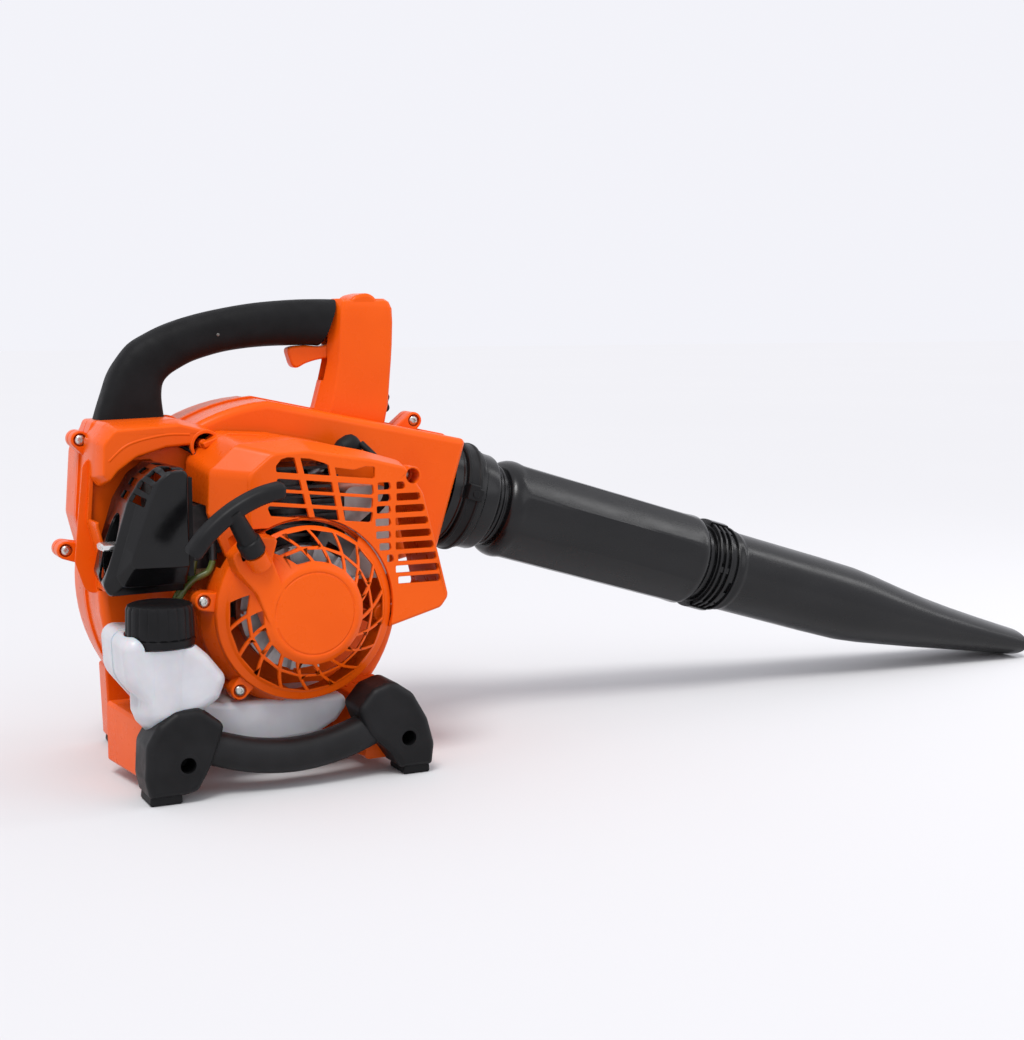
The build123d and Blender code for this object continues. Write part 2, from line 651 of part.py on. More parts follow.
# ---- covers ----
COVER = [(-70, 205), (-66, 236), (-52, 249), (-20, 250), (52, 241), (84, 232), (94, 222), (115, 126), (109, 120),
         (62, 107), (0, 127), (-56, 176)]


def engine_cover():
    cover = tray(outline(COVER), COVER_FRONT_Y, COVER_BACK_Y, SHELL)
    cover -= disc(0, CRANK_Z, RECOIL_R + GAP, -140, -50)
    cover -= block(26, 92, -102, -50, 222, 262)
    cover -= block(-80, -40, -112, -50, 150, 236) + block(-80, -36, -72, -50, 200, 262)
    cover -= slab(offset(outline(TOWER), GAP, kind=Kind.INTERSECTION), -140, -120)
    for i in range(4):
        cover -= block(-31 + i, 50, -140, -120, 190 + i * 12, 197.5 + i * 12)
    for i in range(10):
        z = 137 + i * 9.3
        left, right = (66 if z < 185 else 57), 106 - (z - 137) * 0.22
        cover -= block(left + (74 - left) * (z < 165), right, -140, -120, z, z + 5.4)
    for x, z in recoil_post_places():
        cover -= disc(x, z, 7.5, COVER_FRONT_Y + SHELL, -50) + slab(lug_arm(x, z, 24), COVER_FRONT_Y + SHELL, -50)
    for x, z in cover_post_places():
        cover -= disc(x, z, 5.6, -128, -50)
    return cover


# ---- fuel tank ----
def fuel_tank():
    lobe = outline([(-141, 117), (-141, 88), (-110, 57), (-88, 60), (-67, 82), (-68, 92), (-80, 108), (-92, 117)], 6)
    belly = outline([(-84, 64), (-72, 38), (-54, 29), (-20, 26), (10, 28), (28, 38), (36, 50), (35, 57), (-70, 57),
                     (-84, 74)])
    outer = slab(lobe, -152, -74) + slab(belly, -118, -60)
    outer -= cap_seat(0) + boot_seat(GAP)
    outer += Pos(CAP_X, CAP_Y, 118) * Cylinder(18, 20)
    inner = slab(offset(lobe, -2.4), -149.6, -76.4) + slab(offset(belly, -2.4), -115.6, -62.4)
    inner -= cap_seat(2.4) + boot_seat(GAP + 2.4)
    inner += Pos(CAP_X, CAP_Y, 118) * Cylinder(15.5, 30)
    tank = outer - inner
    for x, y in hose_places():
        tank -= Pos(x, y, 112) * Cylinder(3, 30)
    return tank


def cap_seat(wall):
    """The round notch that the cap's skirt sits in."""
    return rod((CAP_X, CAP_Y, CAP_FROM - 0.6 - wall), (CAP_X, CAP_Y, 160), CAP_R + 0.8 + wall)


def boot_seat(gap):
    """The rear boot's room in the tank's front."""
    return slab(offset(outline(REAR_BOOT, 2.5), gap), BOOT_FRONT_Y, BOOT_BACK_Y + gap)


def hose_places():
    return [(-91, -92), (-89, -100)]


def fuel_cap():
    cap = rod((CAP_X, CAP_Y, CAP_FROM), (CAP_X, CAP_Y, 141), CAP_R)
    cap -= rod((CAP_X, CAP_Y, 100), (CAP_X, CAP_Y, 131.2), 18.4)
    for i in range(12):
        x, y = polar(i * 30, CAP_R + 1.2, CAP_X, CAP_Y)
        cap -= Pos(x, y, 130) * Cylinder(2.6, 40)
    return cap


def cap_seal():
    return Pos(CAP_X, CAP_Y, 129.6) * (Cylinder(17.6, 2.8) - Cylinder(13, 6))


def fuel_hoses():
    supply = cord([(-91, -92, 100), (-91, -92, 124), (-87, -94, 139), (-77.5, -96, 150.5), (-74, -97, 164.4)], 2.6)
    back = cord([(-89, -100, 100), (-89, -100, 122), (-87, -101, 138.5), (-77.5, -102.5, 150.5),
                 (-66, -103, 155.5), (-62, -103, 163.8)], 2.6)
    return Compound(children=[supply, back])


# ---- stand ----
REAR_BOOT = [(-126, 46), (-118, 58), (-106, 66), (-90, 67), (-72, 55), (-73, 42), (-80, 26), (-91, 8), (-100, 6),
             (-126, 6), (-129, 22)]
FRONT_BOOT = [(30, 54), (42, 68), (58, 73), (74, 62), (85, 42), (91, 22), (89, 6), (64, 6), (54, 20), (38, 34)]


def stand_boots():
    boots = []
    for points, hole, leg in ((REAR_BOOT, (-99, 28), (-108, -103)), (FRONT_BOOT, (69, 29), (62, 62))):
        boot = slab(outline(points, 2.5), BOOT_FRONT_Y, BOOT_BACK_Y)
        boot -= disc(hole[0], hole[1], 6, BOOT_FRONT_Y - 1, BOOT_FRONT_Y + 22)
        boot -= stand_leg(*leg)
        boots.append(boot - bar_solid())
    return Compound(children=boots)


def bar_solid():
    path = ThreePointArc((-84, -143, 37), (-18, -146, 24), (48, -143, 38))
    return sweep(Plane(origin=path @ 0, z_dir=path % 0) * Circle(12.6), path=path)


def foot_pads():
    pads = [block(-126, -102, -154, -126, 0, 6), block(66, 88, -154, -126, 0, 6)]
    pads += [block(x - 12, x + 12, 32, 50, 0, 6) for x in (-98, 62)]
    return Compound(children=pads)


# ---- air tubes ----
def tube_adapter():
    r = MAIN_R + 1
    return turned([(-8, NECK_R), (-8, r - 2.6), (-2, r - 2.6), (-2, r), (22, r), (22, NECK_R)])


def tube_clamp():
    r = MAIN_R + 1 + GAP
    band = turned([(2, r), (2, r + 3), (16, r + 3), (16, r)])
    lug = along_tube(9) * (Pos(-r - 1, 12, 0) * Box(12, 14, 14))
    return band + (lug - turned([(-10, 0), (-10, r), (30, r), (30, 0)]))


def neck_tube():
    r = NECK_R
    return turned([(22, r - TUBE_WALL), (22, MAIN_R - 1), (46, MAIN_R - 1), (48, r), (74, r), (74, r - TUBE_WALL)])


def main_tube():
    a, b, r = MAIN_FROM, MAIN_TO, MAIN_R
    outer = [(a, NECK_R + 4), (a + 10, r), (b - 12, r - 1), (b - 4, NECK_R + 1.2), (b, NECK_R + 1.2),
             (b + 1, NECK_R), (b + 28, NECK_R)]
    w = TUBE_WALL
    inner = [(b + 28, NECK_R - w), (b - 4, NECK_R - w), (b - 13, r - 1 - w), (a + 18, r - w), (a + 18, NECK_R + RUN),
             (a, NECK_R + RUN)]
    return turned(outer + inner)


def oval(half_width, half_height):
    return Ellipse(half_width, half_height)


def nozzle():
    """Round socket with its bayonet collar, then a taper to a flat mouth."""
    a, w = NOZZLE_FROM, TUBE_WALL
    socket = turned([(a, NECK_R + RUN + 0.02), (a, COLLAR_R), (a + 22, COLLAR_R), (a + 24, NOZZLE_R), (440, NOZZLE_R),
                     (440, NOZZLE_R - w), (a + 30, NOZZLE_R - w), (a + 30, NECK_R + RUN + 0.02)])
    outer, inner = [], []
    for s, half_w, half_h, lift in ((440, NOZZLE_R, NOZZLE_R, 0), (530, 36, 26, 0.5),
                                    (NOZZLE_TO, TIP_HALF_WIDTH, TIP_HALF_HEIGHT, 7.75)):
        station = along_tube(s) * Pos(0, lift)
        outer.append(station * oval(half_w, half_h))
        inner.append(station * oval(half_w - w, half_h - w))
    return socket + (loft(outer, ruled=True) - loft(inner, ruled=True))


def pieces():
    return {
        "fan_case_engine_side": fan_case_engine_side(),
        "fan_case_intake_side": fan_case_intake_side(),
        "intake_grille": intake_grille(),
        "case_screws": case_screws(),
        "handle_shell_engine_side": handle_shell_engine_side(),
        "handle_shell_intake_side": handle_shell_intake_side(),
        "handle_grip": handle_grip(),
        "throttle_trigger": throttle_trigger(),
        "trigger_pin": trigger_pin(),
        "throttle_cable": throttle_cable(),
        "stop_switch": stop_switch(),
        "crankcase": crankcase(),
        "crank_bearings": crank_bearings(),
        "crankshaft_front_half": crankshaft_front_half(),
        "crankshaft_rear_half": crankshaft_rear_half(),
        "shaft_nuts": shaft_nuts(),
        "flywheel": flywheel(),
        "starter_cup": starter_cup(),
        "fan_impeller": fan_impeller(),
        "crank_pin": crank_pin(),
        "connecting_rod": connecting_rod(),
        "gudgeon_pin": gudgeon_pin(),
        "piston": piston(),
        "piston_rings": piston_rings(),
        "cylinder": cylinder(),
        "cylinder_bolts": cylinder_bolts(),
        "spark_plug": spark_plug(),
        "spark_plug_boot": spark_plug_boot(),
        "ignition_coil": ignition_coil(),
        "ignition_lead": ignition_lead(),
        "muffler": muffler(),
        "intake_insulator": intake_insulator(),
        "carburettor": carburettor(),
        "throttle_lever": throttle_lever(),
        "primer_bulb": primer_bulb(),
        "air_filter_base": air_filter_base(),
        "air_filter_element": air_filter_element(),
        "air_filter_cover": air_filter_cover(),
        "choke_lever": choke_lever(),
        "recoil_housing": recoil_housing(),
        "rope_guide": rope_guide(),
        "recoil_spring": recoil_spring(),
        "starter_reel": starter_reel(),
        "rope_winding": rope_winding(),
        "starter_pawl": starter_pawl(),
        "starter_rope": starter_rope(),
        "starter_handle": starter_handle(),
        "engine_cover": engine_cover(),
        "fuel_tank": fuel_tank(),
        "fuel_cap": fuel_cap(),
        "cap_seal": cap_seal(),
        "fuel_hoses": fuel_hoses(),
        "stand_boots": stand_boots(),
        "stand_bar": bar_solid(),
        "foot_pads": foot_pads(),
        "tube_adapter": tube_adapter(),
        "tube_clamp": tube_clamp(),
        "neck_tube": neck_tube(),
        "main_tube": main_tube(),
        "nozzle": nozzle(),
    }


parts = pieces()
boxes = [shape.bounding_box() for shape in parts.values()]
low = [min(tuple(b.min)[i] for b in boxes) for i in range(3)]
high = [max(tuple(b.max)[i] for b in boxes) for i in range(3)]
SHIFT = Vector(-(low[0] + high[0]) / 2, -(low[1] + high[1]) / 2, -low[2])
print("box", low, high, "shift", SHIFT)
os.makedirs("parts", exist_ok=True)
for name, shape in parts.items():
    export_step(Pos(*SHIFT) * shape, f"parts/{name}.step")
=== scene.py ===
"""Leaf blower: detailed pieces, materials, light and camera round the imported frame.

Shapes are written in millimetres in a working frame: X along the air stream, -Y the engine side,
Z up, with the crank axis at X 0, Z 127 and the two case halves meeting at Y -5.
"""
import json
from math import cos, degrees, hypot, pi, radians, sin, tan

import bmesh
import bpy
from mathutils import Matrix, Vector, geometry

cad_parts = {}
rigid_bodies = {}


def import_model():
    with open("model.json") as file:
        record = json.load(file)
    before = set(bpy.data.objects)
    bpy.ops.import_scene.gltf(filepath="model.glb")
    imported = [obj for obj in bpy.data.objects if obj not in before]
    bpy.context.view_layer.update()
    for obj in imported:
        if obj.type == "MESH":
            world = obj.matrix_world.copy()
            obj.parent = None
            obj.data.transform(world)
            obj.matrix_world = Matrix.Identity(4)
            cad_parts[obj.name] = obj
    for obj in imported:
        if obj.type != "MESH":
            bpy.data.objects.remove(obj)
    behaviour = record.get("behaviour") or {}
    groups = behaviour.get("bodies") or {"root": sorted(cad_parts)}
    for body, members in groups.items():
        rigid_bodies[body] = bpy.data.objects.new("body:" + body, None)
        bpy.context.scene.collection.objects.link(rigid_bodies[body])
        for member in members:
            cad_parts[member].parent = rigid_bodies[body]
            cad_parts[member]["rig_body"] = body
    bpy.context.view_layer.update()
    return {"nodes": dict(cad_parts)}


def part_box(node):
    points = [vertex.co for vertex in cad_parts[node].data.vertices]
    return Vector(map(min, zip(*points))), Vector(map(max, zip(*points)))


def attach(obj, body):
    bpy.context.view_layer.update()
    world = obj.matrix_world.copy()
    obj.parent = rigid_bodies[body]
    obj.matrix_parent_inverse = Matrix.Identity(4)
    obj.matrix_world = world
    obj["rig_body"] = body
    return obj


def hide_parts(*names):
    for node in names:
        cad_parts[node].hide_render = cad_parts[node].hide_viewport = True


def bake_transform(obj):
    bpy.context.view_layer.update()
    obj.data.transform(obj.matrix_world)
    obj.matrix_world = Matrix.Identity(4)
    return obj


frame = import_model()

CRANK_Z = 127.0
SPLIT_Y = -5.0
CASE_WALL = 3


def working_origin():
    """Where the working frame's zero lies in the row frame, in metres."""
    crank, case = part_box("crank_bearings"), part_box("fan_case_engine_side")
    x, z = (crank[0].x + crank[1].x) / 2, (crank[0].z + crank[1].z) / 2
    return Vector((x, case[1].y - SPLIT_Y / 1000, z - CRANK_Z / 1000))


ORIGIN = working_origin()


def place(x, y, z):
    return ORIGIN + Vector((x, y, z)) / 1000


# ---- outlines ----
def polar(angle, r, x=0.0, z=CRANK_Z):
    return (x + r * cos(radians(angle)), z + r * sin(radians(angle)))


def arc(r, start, end, steps, x=0.0, z=CRANK_Z):
    return [polar(start + (end - start) * k / steps, r, x, z) for k in range(steps + 1)]


def rounded(points, radius=2.0, steps=5):
    """A closed outline with rounded corners. A point may carry its own radius as a third number."""
    out, n = [], len(points)
    for i, p in enumerate(points):
        before, here, after = Vector(points[i - 1][:2]), Vector(p[:2]), Vector(points[(i + 1) % n][:2])
        r = p[2] if len(p) > 2 else radius
        u, v = before - here, after - here
        half = u.angle(v) / 2
        if r <= 0:
            out.append(tuple(here))
            continue
        if half > radians(89):
            u.normalize()
            v.normalize()
            out += [tuple(here + (u * (steps - k) + v * k) / steps) for k in range(steps + 1)]
            continue
        reach = min(r / tan(half), u.length * 0.48, v.length * 0.48)
        u.normalize()
        v.normalize()
        centre = here + (u + v).normalized() * (reach / cos(half))
        start, end = here + u * reach - centre, here + v * reach - centre
        for k in range(steps + 1):
            t = k / steps
            d = start * (1 - t) + end * t
            out.append(tuple(centre + d.normalized() * start.length))
    return out


def smooth(points, per=6, closed=True):
    """Catmull-Rom points through the given ones."""
    n, out = len(points), []
    for i in range(n if closed else n - 1):
        near = [(i + k) % n if closed else min(max(i + k, 0), n - 1) for k in (-1, 0, 1, 2)]
        p = [Vector(points[m]) for m in near]
        for k in range(per):
            t = k / per
            out.append(0.5 * (2 * p[1] + (p[2] - p[0]) * t + (2 * p[0] - 5 * p[1] + 4 * p[2] - p[3]) * t * t
                              + (3 * p[1] - p[0] - 3 * p[2] + p[3]) * t ** 3))
    if not closed:
        out.append(Vector(points[-1]))
    return [tuple(p) for p in out]


def area(points):
    return sum(a[0] * b[1] - b[0] * a[1] for a, b in zip(points, points[1:] + points[:1])) / 2


def inset(points, d):
    """The outline moved inward by d along its bisectors. Corners too tight for d shrink to a point."""
    side, n, out = (1 if area(points) > 0 else -1), len(points), []
    for i in range(n):
        a, b, c = Vector(points[i - 1]), Vector(points[i]), Vector(points[(i + 1) % n])
        u, v = (b - a).normalized(), (c - b).normalized()
        across = Vector((-u.y - v.y, u.x + v.x)) * side
        across.normalize()
        bend = max(across.dot(Vector((-u.y, u.x)) * side), 0.35)
        out.append(b + across * d / bend)
    turned = []
    for i in range(n):
        j = (i + 1) % n
        turned.append((out[j] - out[i]).dot(Vector(points[j]) - Vector(points[i])) < 0)
    first = next((i for i in range(n) if turned[i] and not turned[i - 1]), None)
    run = []
    for k in range(n if first is not None else 0):
        i = (first + k) % n
        if turned[i]:
            run.append(i)
        elif run:
            group = run + [i]
            middle = sum((out[j] for j in group), Vector((0, 0))) / len(group)
            for j in group:
                out[j] = middle
            run = []
    return [tuple(p) for p in out]


def inside(p, poly):
    odd = False
    for (x0, z0), (x1, z1) in zip(poly, poly[1:] + poly[:1]):
        if (z0 > p[1]) != (z1 > p[1]) and p[0] < x0 + (p[1] - z0) * (x1 - x0) / (z1 - z0):
            odd = not odd
    return odd


def hull(circles, steps=28):
    """The outline round some circles given as (x, z, r)."""
    points = [Vector(polar(360 * k / steps, r, x, z)) for x, z, r in circles for k in range(steps)]
    return [tuple(points[i]) for i in geometry.convex_hull_2d(points)]


# ---- meshes ----
def skin(rings, caps=True, closed=True):
    """Quads between rings of equal count, with flat ends."""
    bm = bmesh.new()
    rows = [[bm.verts.new(p) for p in ring] for ring in rings]
    n = len(rows[0])
    for a, b in zip(rows, rows[1:]):
        for i in range(n if closed else n - 1):
            j = (i + 1) % n
            bm.faces.new((a[i], a[j], b[j], b[i]))
    if caps:
        bm.faces.new(rows[0][::-1])
        bm.faces.new(rows[-1])
    bmesh.ops.remove_doubles(bm, verts=bm.verts, dist=0.001)
    bmesh.ops.recalc_face_normals(bm, faces=bm.faces)
    return bm


def at_y(points, y):
    return [(x, y, z) for x, z in points]


def edge_steps(e, steps):
    """Pairs of inset and depth down a rounded edge of radius e."""
    return [(e * (1 - sin(pi / 2 * k / steps)), e * (1 - cos(pi / 2 * k / steps))) for k in range(steps + 1)]


def slab(points, y0, y1, edge=1.0, back=None, steps=4):
    """The outline extruded from y0 to y1, with rounded edges at both ends."""
    back = edge if back is None else back
    rings = [at_y(inset(points, d), y0 + h) for d, h in edge_steps(edge, steps if edge > 0.3 else 1)]
    rings += [at_y(inset(points, d), y1 - h) for d, h in edge_steps(back, steps if back > 0.3 else 1)[::-1]]
    return skin(rings)


def frame_of(start, direction):
    d = Vector(direction).normalized()
    up = Vector((0, 1, 0)) if abs(d.y) < 0.9 else Vector((0, 0, 1))
    side = d.cross(up).normalized()
    return Vector(start), d, side, side.cross(d)


def lathe(profile, start, direction, segs=64, flat=None):
    """A closed solid of revolution from (s, r) pairs along an axis. flat(s, a) may scale the radius."""
    o, d, side, up = frame_of(start, direction)
    rings = []
    for s, r in profile:
        ring = []
        for k in range(segs):
            a = 2 * pi * k / segs
            rr = r * (flat(s, a) if flat else 1)
            ring.append(o + d * s + (side * cos(a) + up * sin(a)) * rr)
        rings.append(ring)
    return skin(rings)


def rod(a, b, r, segs=24, edge=0.4):
    a, b = Vector(a), Vector(b)
    n = (b - a).length
    return lathe([(0, r - edge), (edge, r), (n - edge, r), (n, r - edge)], a, b - a, segs)


def heading(points, i):
    """The direction that a line of points has at one of them."""
    return (Vector(points[min(i + 1, len(points) - 1)]) - Vector(points[max(i - 1, 0)])).normalized()


def sweep(points, r, segs=12):
    """A tube along points."""
    rings, up = [], Vector((0.1, 1, 0.2))
    for i, p in enumerate(points):
        d = heading(points, i)
        up = up - d * up.dot(d)
        up.normalize()
        side = d.cross(up)
        turn = [2 * pi * k / segs for k in range(segs)]
        rings.append([Vector(p) + (side * cos(a) + up * sin(a)) * r for a in turn])
    return skin(rings)


def block(x0, x1, y0, y1, z0, z1, edge=1.0):
    return slab(rounded([(x0, z0), (x1, z0), (x1, z1), (x0, z1)], edge, 3), y0, y1, edge, steps=3)


def join(*parts):
    bm = bmesh.new()
    for part in parts:
        mesh = bpy.data.meshes.new("joined")
        part.to_mesh(mesh)
        bm.from_mesh(mesh)
        bpy.data.meshes.remove(mesh)
    return bm


def moved(bm, matrix):
    copy = bm.copy()
    bmesh.ops.transform(copy, matrix=matrix, verts=copy.verts)
    return copy


def as_object(bm, name="work"):
    mesh = bpy.data.meshes.new(name)
    bm.to_mesh(mesh)
    obj = bpy.data.objects.new(name, mesh)
    bpy.context.scene.collection.objects.link(obj)
    return obj


def evaluated(obj):
    return bpy.data.meshes.new_from_object(obj.evaluated_get(bpy.context.evaluated_depsgraph_get()))


def boolean(base, tool, how="DIFFERENCE"):
    a, b = as_object(base), as_object(tool)
    mod = a.modifiers.new("cut", "BOOLEAN")
    mod.operation, mod.solver, mod.object = how, "EXACT", b
    mesh = evaluated(a)
    out = bmesh.new()
    out.from_mesh(mesh)
    for obj in (a, b):
        bpy.data.objects.remove(obj)
    bpy.data.meshes.remove(mesh)
    bmesh.ops.remove_doubles(out, verts=out.verts, dist=0.01)
    return out


def cut(base, *tools):
    for tool in tools:
        base = boolean(base, tool)
    return base


MATERIALS = {}


def piece(name, bm, material, body, replaces=(), bevel=0.0, angle=35, sub=0):
    """Turns working millimetres into a finished object that rides on a body."""
    obj = as_object(bm, name)
    if bevel:
        mod = obj.modifiers.new("edges", "BEVEL")
        mod.width, mod.segments, mod.limit_method = bevel, 2, "ANGLE"
        mod.angle_limit, mod.use_clamp_overlap = radians(38), False
    if sub:
        mod = obj.modifiers.new("smooth", "SUBSURF")
        mod.levels = mod.render_levels = sub
    mesh = evaluated(obj)
    obj.modifiers.clear()
    obj.data = mesh
    mesh.name = name
    mesh.transform(Matrix.Translation(ORIGIN) @ Matrix.Scale(0.001, 4))
    mesh.polygons.foreach_set("use_smooth", [True] * len(mesh.polygons))
    mesh.set_sharp_from_angle(angle=radians(angle))
    mod = obj.modifiers.new("normals", "WEIGHTED_NORMAL")
    mod.keep_sharp = True
    mesh.materials.clear()
    mesh.materials.append(MATERIALS[material])
    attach(obj, body)
    if replaces:
        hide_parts(*replaces)
    return obj


# ---- materials ----
def shader(name):
    mat = bpy.data.materials.new(name)
    mat.use_nodes = True
    nodes, links = mat.node_tree.nodes, mat.node_tree.links
    MATERIALS[name] = mat
    return nodes, links, nodes["Principled BSDF"]


def noise(nodes, links, scale, detail=4.0, rough=0.55, stretch=(1, 1, 1)):
    """Procedural noise in metres of the object, stretched along an axis."""
    where = nodes.new("ShaderNodeTexCoord")
    mapping = nodes.new("ShaderNodeMapping")
    mapping.inputs["Scale"].default_value = stretch
    tex = nodes.new("ShaderNodeTexNoise")
    tex.inputs["Scale"].default_value = scale
    tex.inputs["Detail"].default_value = detail
    tex.inputs["Roughness"].default_value = rough
    links.new(where.outputs["Object"], mapping.inputs["Vector"])
    links.new(mapping.outputs["Vector"], tex.inputs["Vector"])
    return tex.outputs["Fac"]


def ramp(nodes, links, fac, low, high, a=0.35, b=0.65):
    node = nodes.new("ShaderNodeValToRGB")
    node.color_ramp.elements[0].position, node.color_ramp.elements[1].position = a, b
    node.color_ramp.elements[0].color = (*low, 1)
    node.color_ramp.elements[1].color = (*high, 1)
    links.new(fac, node.inputs["Fac"])
    return node.outputs["Color"]


def spread(nodes, links, fac, low, high, a=0.3, b=0.7):
    node = nodes.new("ShaderNodeMapRange")
    for key, value in (("From Min", a), ("From Max", b), ("To Min", low), ("To Max", high)):
        node.inputs[key].default_value = value
    links.new(fac, node.inputs["Value"])
    return node.outputs["Result"]


def surface(name, low, high, rough, grain=900, bump=0.06, patch=35, metal=0.0, depth=0.0004,
            stretch=(1, 1, 1), **more):
    """One finish: two close colours in soft patches, uneven gloss and a fine grain."""
    nodes, links, bsdf = shader(name)
    soft = noise(nodes, links, patch, 3, stretch=stretch)
    fine = noise(nodes, links, grain, 3, stretch=stretch)
    links.new(ramp(nodes, links, soft, low, high), bsdf.inputs["Base Color"])
    links.new(spread(nodes, links, noise(nodes, links, patch * 2.7, 5, stretch=stretch), *rough),
              bsdf.inputs["Roughness"])
    hump = nodes.new("ShaderNodeBump")
    hump.inputs["Strength"].default_value = bump
    hump.inputs["Distance"].default_value = depth
    links.new(fine, hump.inputs["Height"])
    links.new(hump.outputs["Normal"], bsdf.inputs["Normal"])
    bsdf.inputs["Metallic"].default_value = metal
    for key, value in more.items():
        bsdf.inputs[key.replace("_", " ")].default_value = value
    return bsdf


def make_materials():
    surface("orange_plastic", (0.76, 0.092, 0.002), (0.80, 0.102, 0.003), (0.24, 0.34), 700, 0.05, 18,
            Specular_IOR_Level=0.16)
    blacks = (("black_plastic", 0.005, 0.008, (0.36, 0.5), 1400, 0.10, 0.18),
              ("pull_black", 0.006, 0.010, (0.38, 0.5), 1500, 0.10, 0.20),
              ("gloss_black", 0.003, 0.005, (0.12, 0.22), 600, 0.04, 0.30),
              ("soft_grip", 0.004, 0.007, (0.52, 0.66), 2200, 0.22, 0.16),
              ("black_rubber", 0.005, 0.009, (0.50, 0.62), 1500, 0.16, 0.18),
              ("boot_rubber", 0.005, 0.009, (0.42, 0.55), 1300, 0.14, 0.20),
              ("bar_rubber", 0.006, 0.010, (0.40, 0.52), 1200, 0.14, 0.24))
    for name, low, high, rough, grain, bump, gloss in blacks:
        surface(name, (low, low, low * 1.1), (high, high, high * 1.1), rough, grain, bump, 40,
                Specular_IOR_Level=gloss)
    surface("tube_black", (0.0035, 0.0035, 0.004), (0.006, 0.006, 0.0066), (0.2, 0.3), 1100, 0.08, 30,
            stretch=(0.35, 1, 1), Specular_IOR_Level=0.34)
    surface("clear_rubber", (0.55, 0.42, 0.20), (0.62, 0.5, 0.27), (0.2, 0.3), 900, 0.05, 60,
            Transmission_Weight=0.4)
    surface("tank_plastic", (0.52, 0.52, 0.55), (0.60, 0.60, 0.63), (0.28, 0.4), 500, 0.06, 30,
            Subsurface_Weight=0.35, Subsurface_Scale=0.01, Coat_Weight=0.2, Coat_Roughness=0.25)
    surface("steel", (0.42, 0.42, 0.43), (0.55, 0.55, 0.56), (0.25, 0.42), 1500, 0.12, 60, 1.0)
    surface("zinc", (0.50, 0.50, 0.48), (0.66, 0.65, 0.62), (0.22, 0.38), 1500, 0.10, 80, 1.0)
    surface("cast_aluminium", (0.42, 0.42, 0.43), (0.58, 0.58, 0.58), (0.4, 0.58), 1200, 0.3, 70, 0.9)
    # cast metal made near black to paint the shade inside the engine cover
    surface("cast_painted_shade", (0.035, 0.035, 0.036), (0.07, 0.07, 0.07), (0.3, 0.45), 1200, 0.3, 70, 0.6)
    surface("muffler_steel", (0.50, 0.49, 0.47), (0.66, 0.65, 0.62), (0.36, 0.52), 900, 0.2, 40, 0.85)
    surface("coil_steel", (0.10, 0.10, 0.10), (0.16, 0.15, 0.14), (0.4, 0.6), 900, 0.2, 60, 0.8)
    surface("lever_metal", (0.70, 0.70, 0.70), (0.82, 0.82, 0.82), (0.2, 0.32), 1200, 0.06, 60, 0.9)
    surface("filter_foam", (0.045, 0.045, 0.045), (0.09, 0.09, 0.09), (0.85, 0.95), 2600, 0.9, 300)
    surface("rope", (0.30, 0.29, 0.27), (0.55, 0.54, 0.50), (0.7, 0.85), 1800, 0.7, 900)
    surface("fuel_hose", (0.10, 0.14, 0.03), (0.17, 0.22, 0.05), (0.18, 0.3), 900, 0.05, 60,
            Transmission_Weight=0.25)
    surface("floor", (0.642, 0.64, 0.65), (0.646, 0.644, 0.654), (0.7, 0.8), 30, 0.0, 1,
            Specular_IOR_Level=0.0)


make_materials()


# ---- shapes shared by several pieces ----
SHOULDER = [(-118, 140), (-139, 190), (-135, 240), (-122, 262), (-66, 264), (-40, 230)]
EARS = [(-150, 166), (-137, 249), (135, 256), (100, 69)]
RECOIL_POSTS = [polar(229, 76), polar(352, 74), polar(172, 76)]
TILT = radians(16.8)
AXIS = Vector((cos(TILT), 0, -sin(TILT)))
TUBE_START = Vector((166, 0, 194))
PULL = Vector((-0.504, -0.329, 0.80)).normalized()
GUIDE = Vector((-45, -151, 173.5))
COVER_SCREW = (85.5, 222.2)
HOOD_SCREW = (-54, 245)
CAP_AXIS = (-110, -132)
ACROSS = (0, 1, 0)
UPWARD = (0, 0, 1)


def on_tube(s):
    return TUBE_START + AXIS * s


def spiral(turn):
    return polar(10 - turn, 105 + 45 * (turn / 280) ** 1.2)


def case_outline():
    """The volute's spiral, the duct's mouth and the rear shoulder in one outline."""
    points = [spiral(t) for t in range(4, 281, 4)]
    outer = [p for p in points if not inside(p, SHOULDER)]
    gap = next(i for i, p in enumerate(points) if inside(p, SHOULDER))
    outer[gap:gap] = [(-139, 190, 14), (-135, 240, 14), (-122, 262, 8), (-66, 264, 10)]
    mouth = [(167.8, 241.5, 4), (141.2, 153.4, 4), (103.4, 145.2, 8)]
    return rounded(outer + mouth, 0, 5)


CASE = case_outline()


def shrunk(points, d):
    """Each point moved d towards the crank axis, for a wide rounded edge."""
    out = []
    for x, z in points:
        r = hypot(x, z - CRANK_Z)
        k = 1 - d / r
        out.append((x * k, CRANK_Z + (z - CRANK_Z) * k))
    return out


def ears(front, back):
    """A case half's screw ears, drilled and counterbored on the engine side."""
    lugs = []
    for x, z in EARS:
        share = 1 - 24 / hypot(x, z - CRANK_Z)
        root = (x * share, CRANK_Z + (z - CRANK_Z) * share, 8.5)
        lug = slab(hull([(x, z, 6.9), root]), front, back, 1.2, steps=3)
        if front < SPLIT_Y:
            seat = rod((x, front - 1, z), (x, front + 3.4, z), 5, edge=0)
            lug = cut(lug, rod((x, -60, z), (x, 60, z), 2.6), seat)
        lugs.append(lug)
    return lugs


def rim(y0, y1, out):
    """A raised band round the case at the seam."""
    ring = slab(inset(CASE, -out), y0, y1, 0.5, steps=2)
    return cut(ring, slab(inset(CASE, 1.5), y0 - 1, y1 + 1, 0))


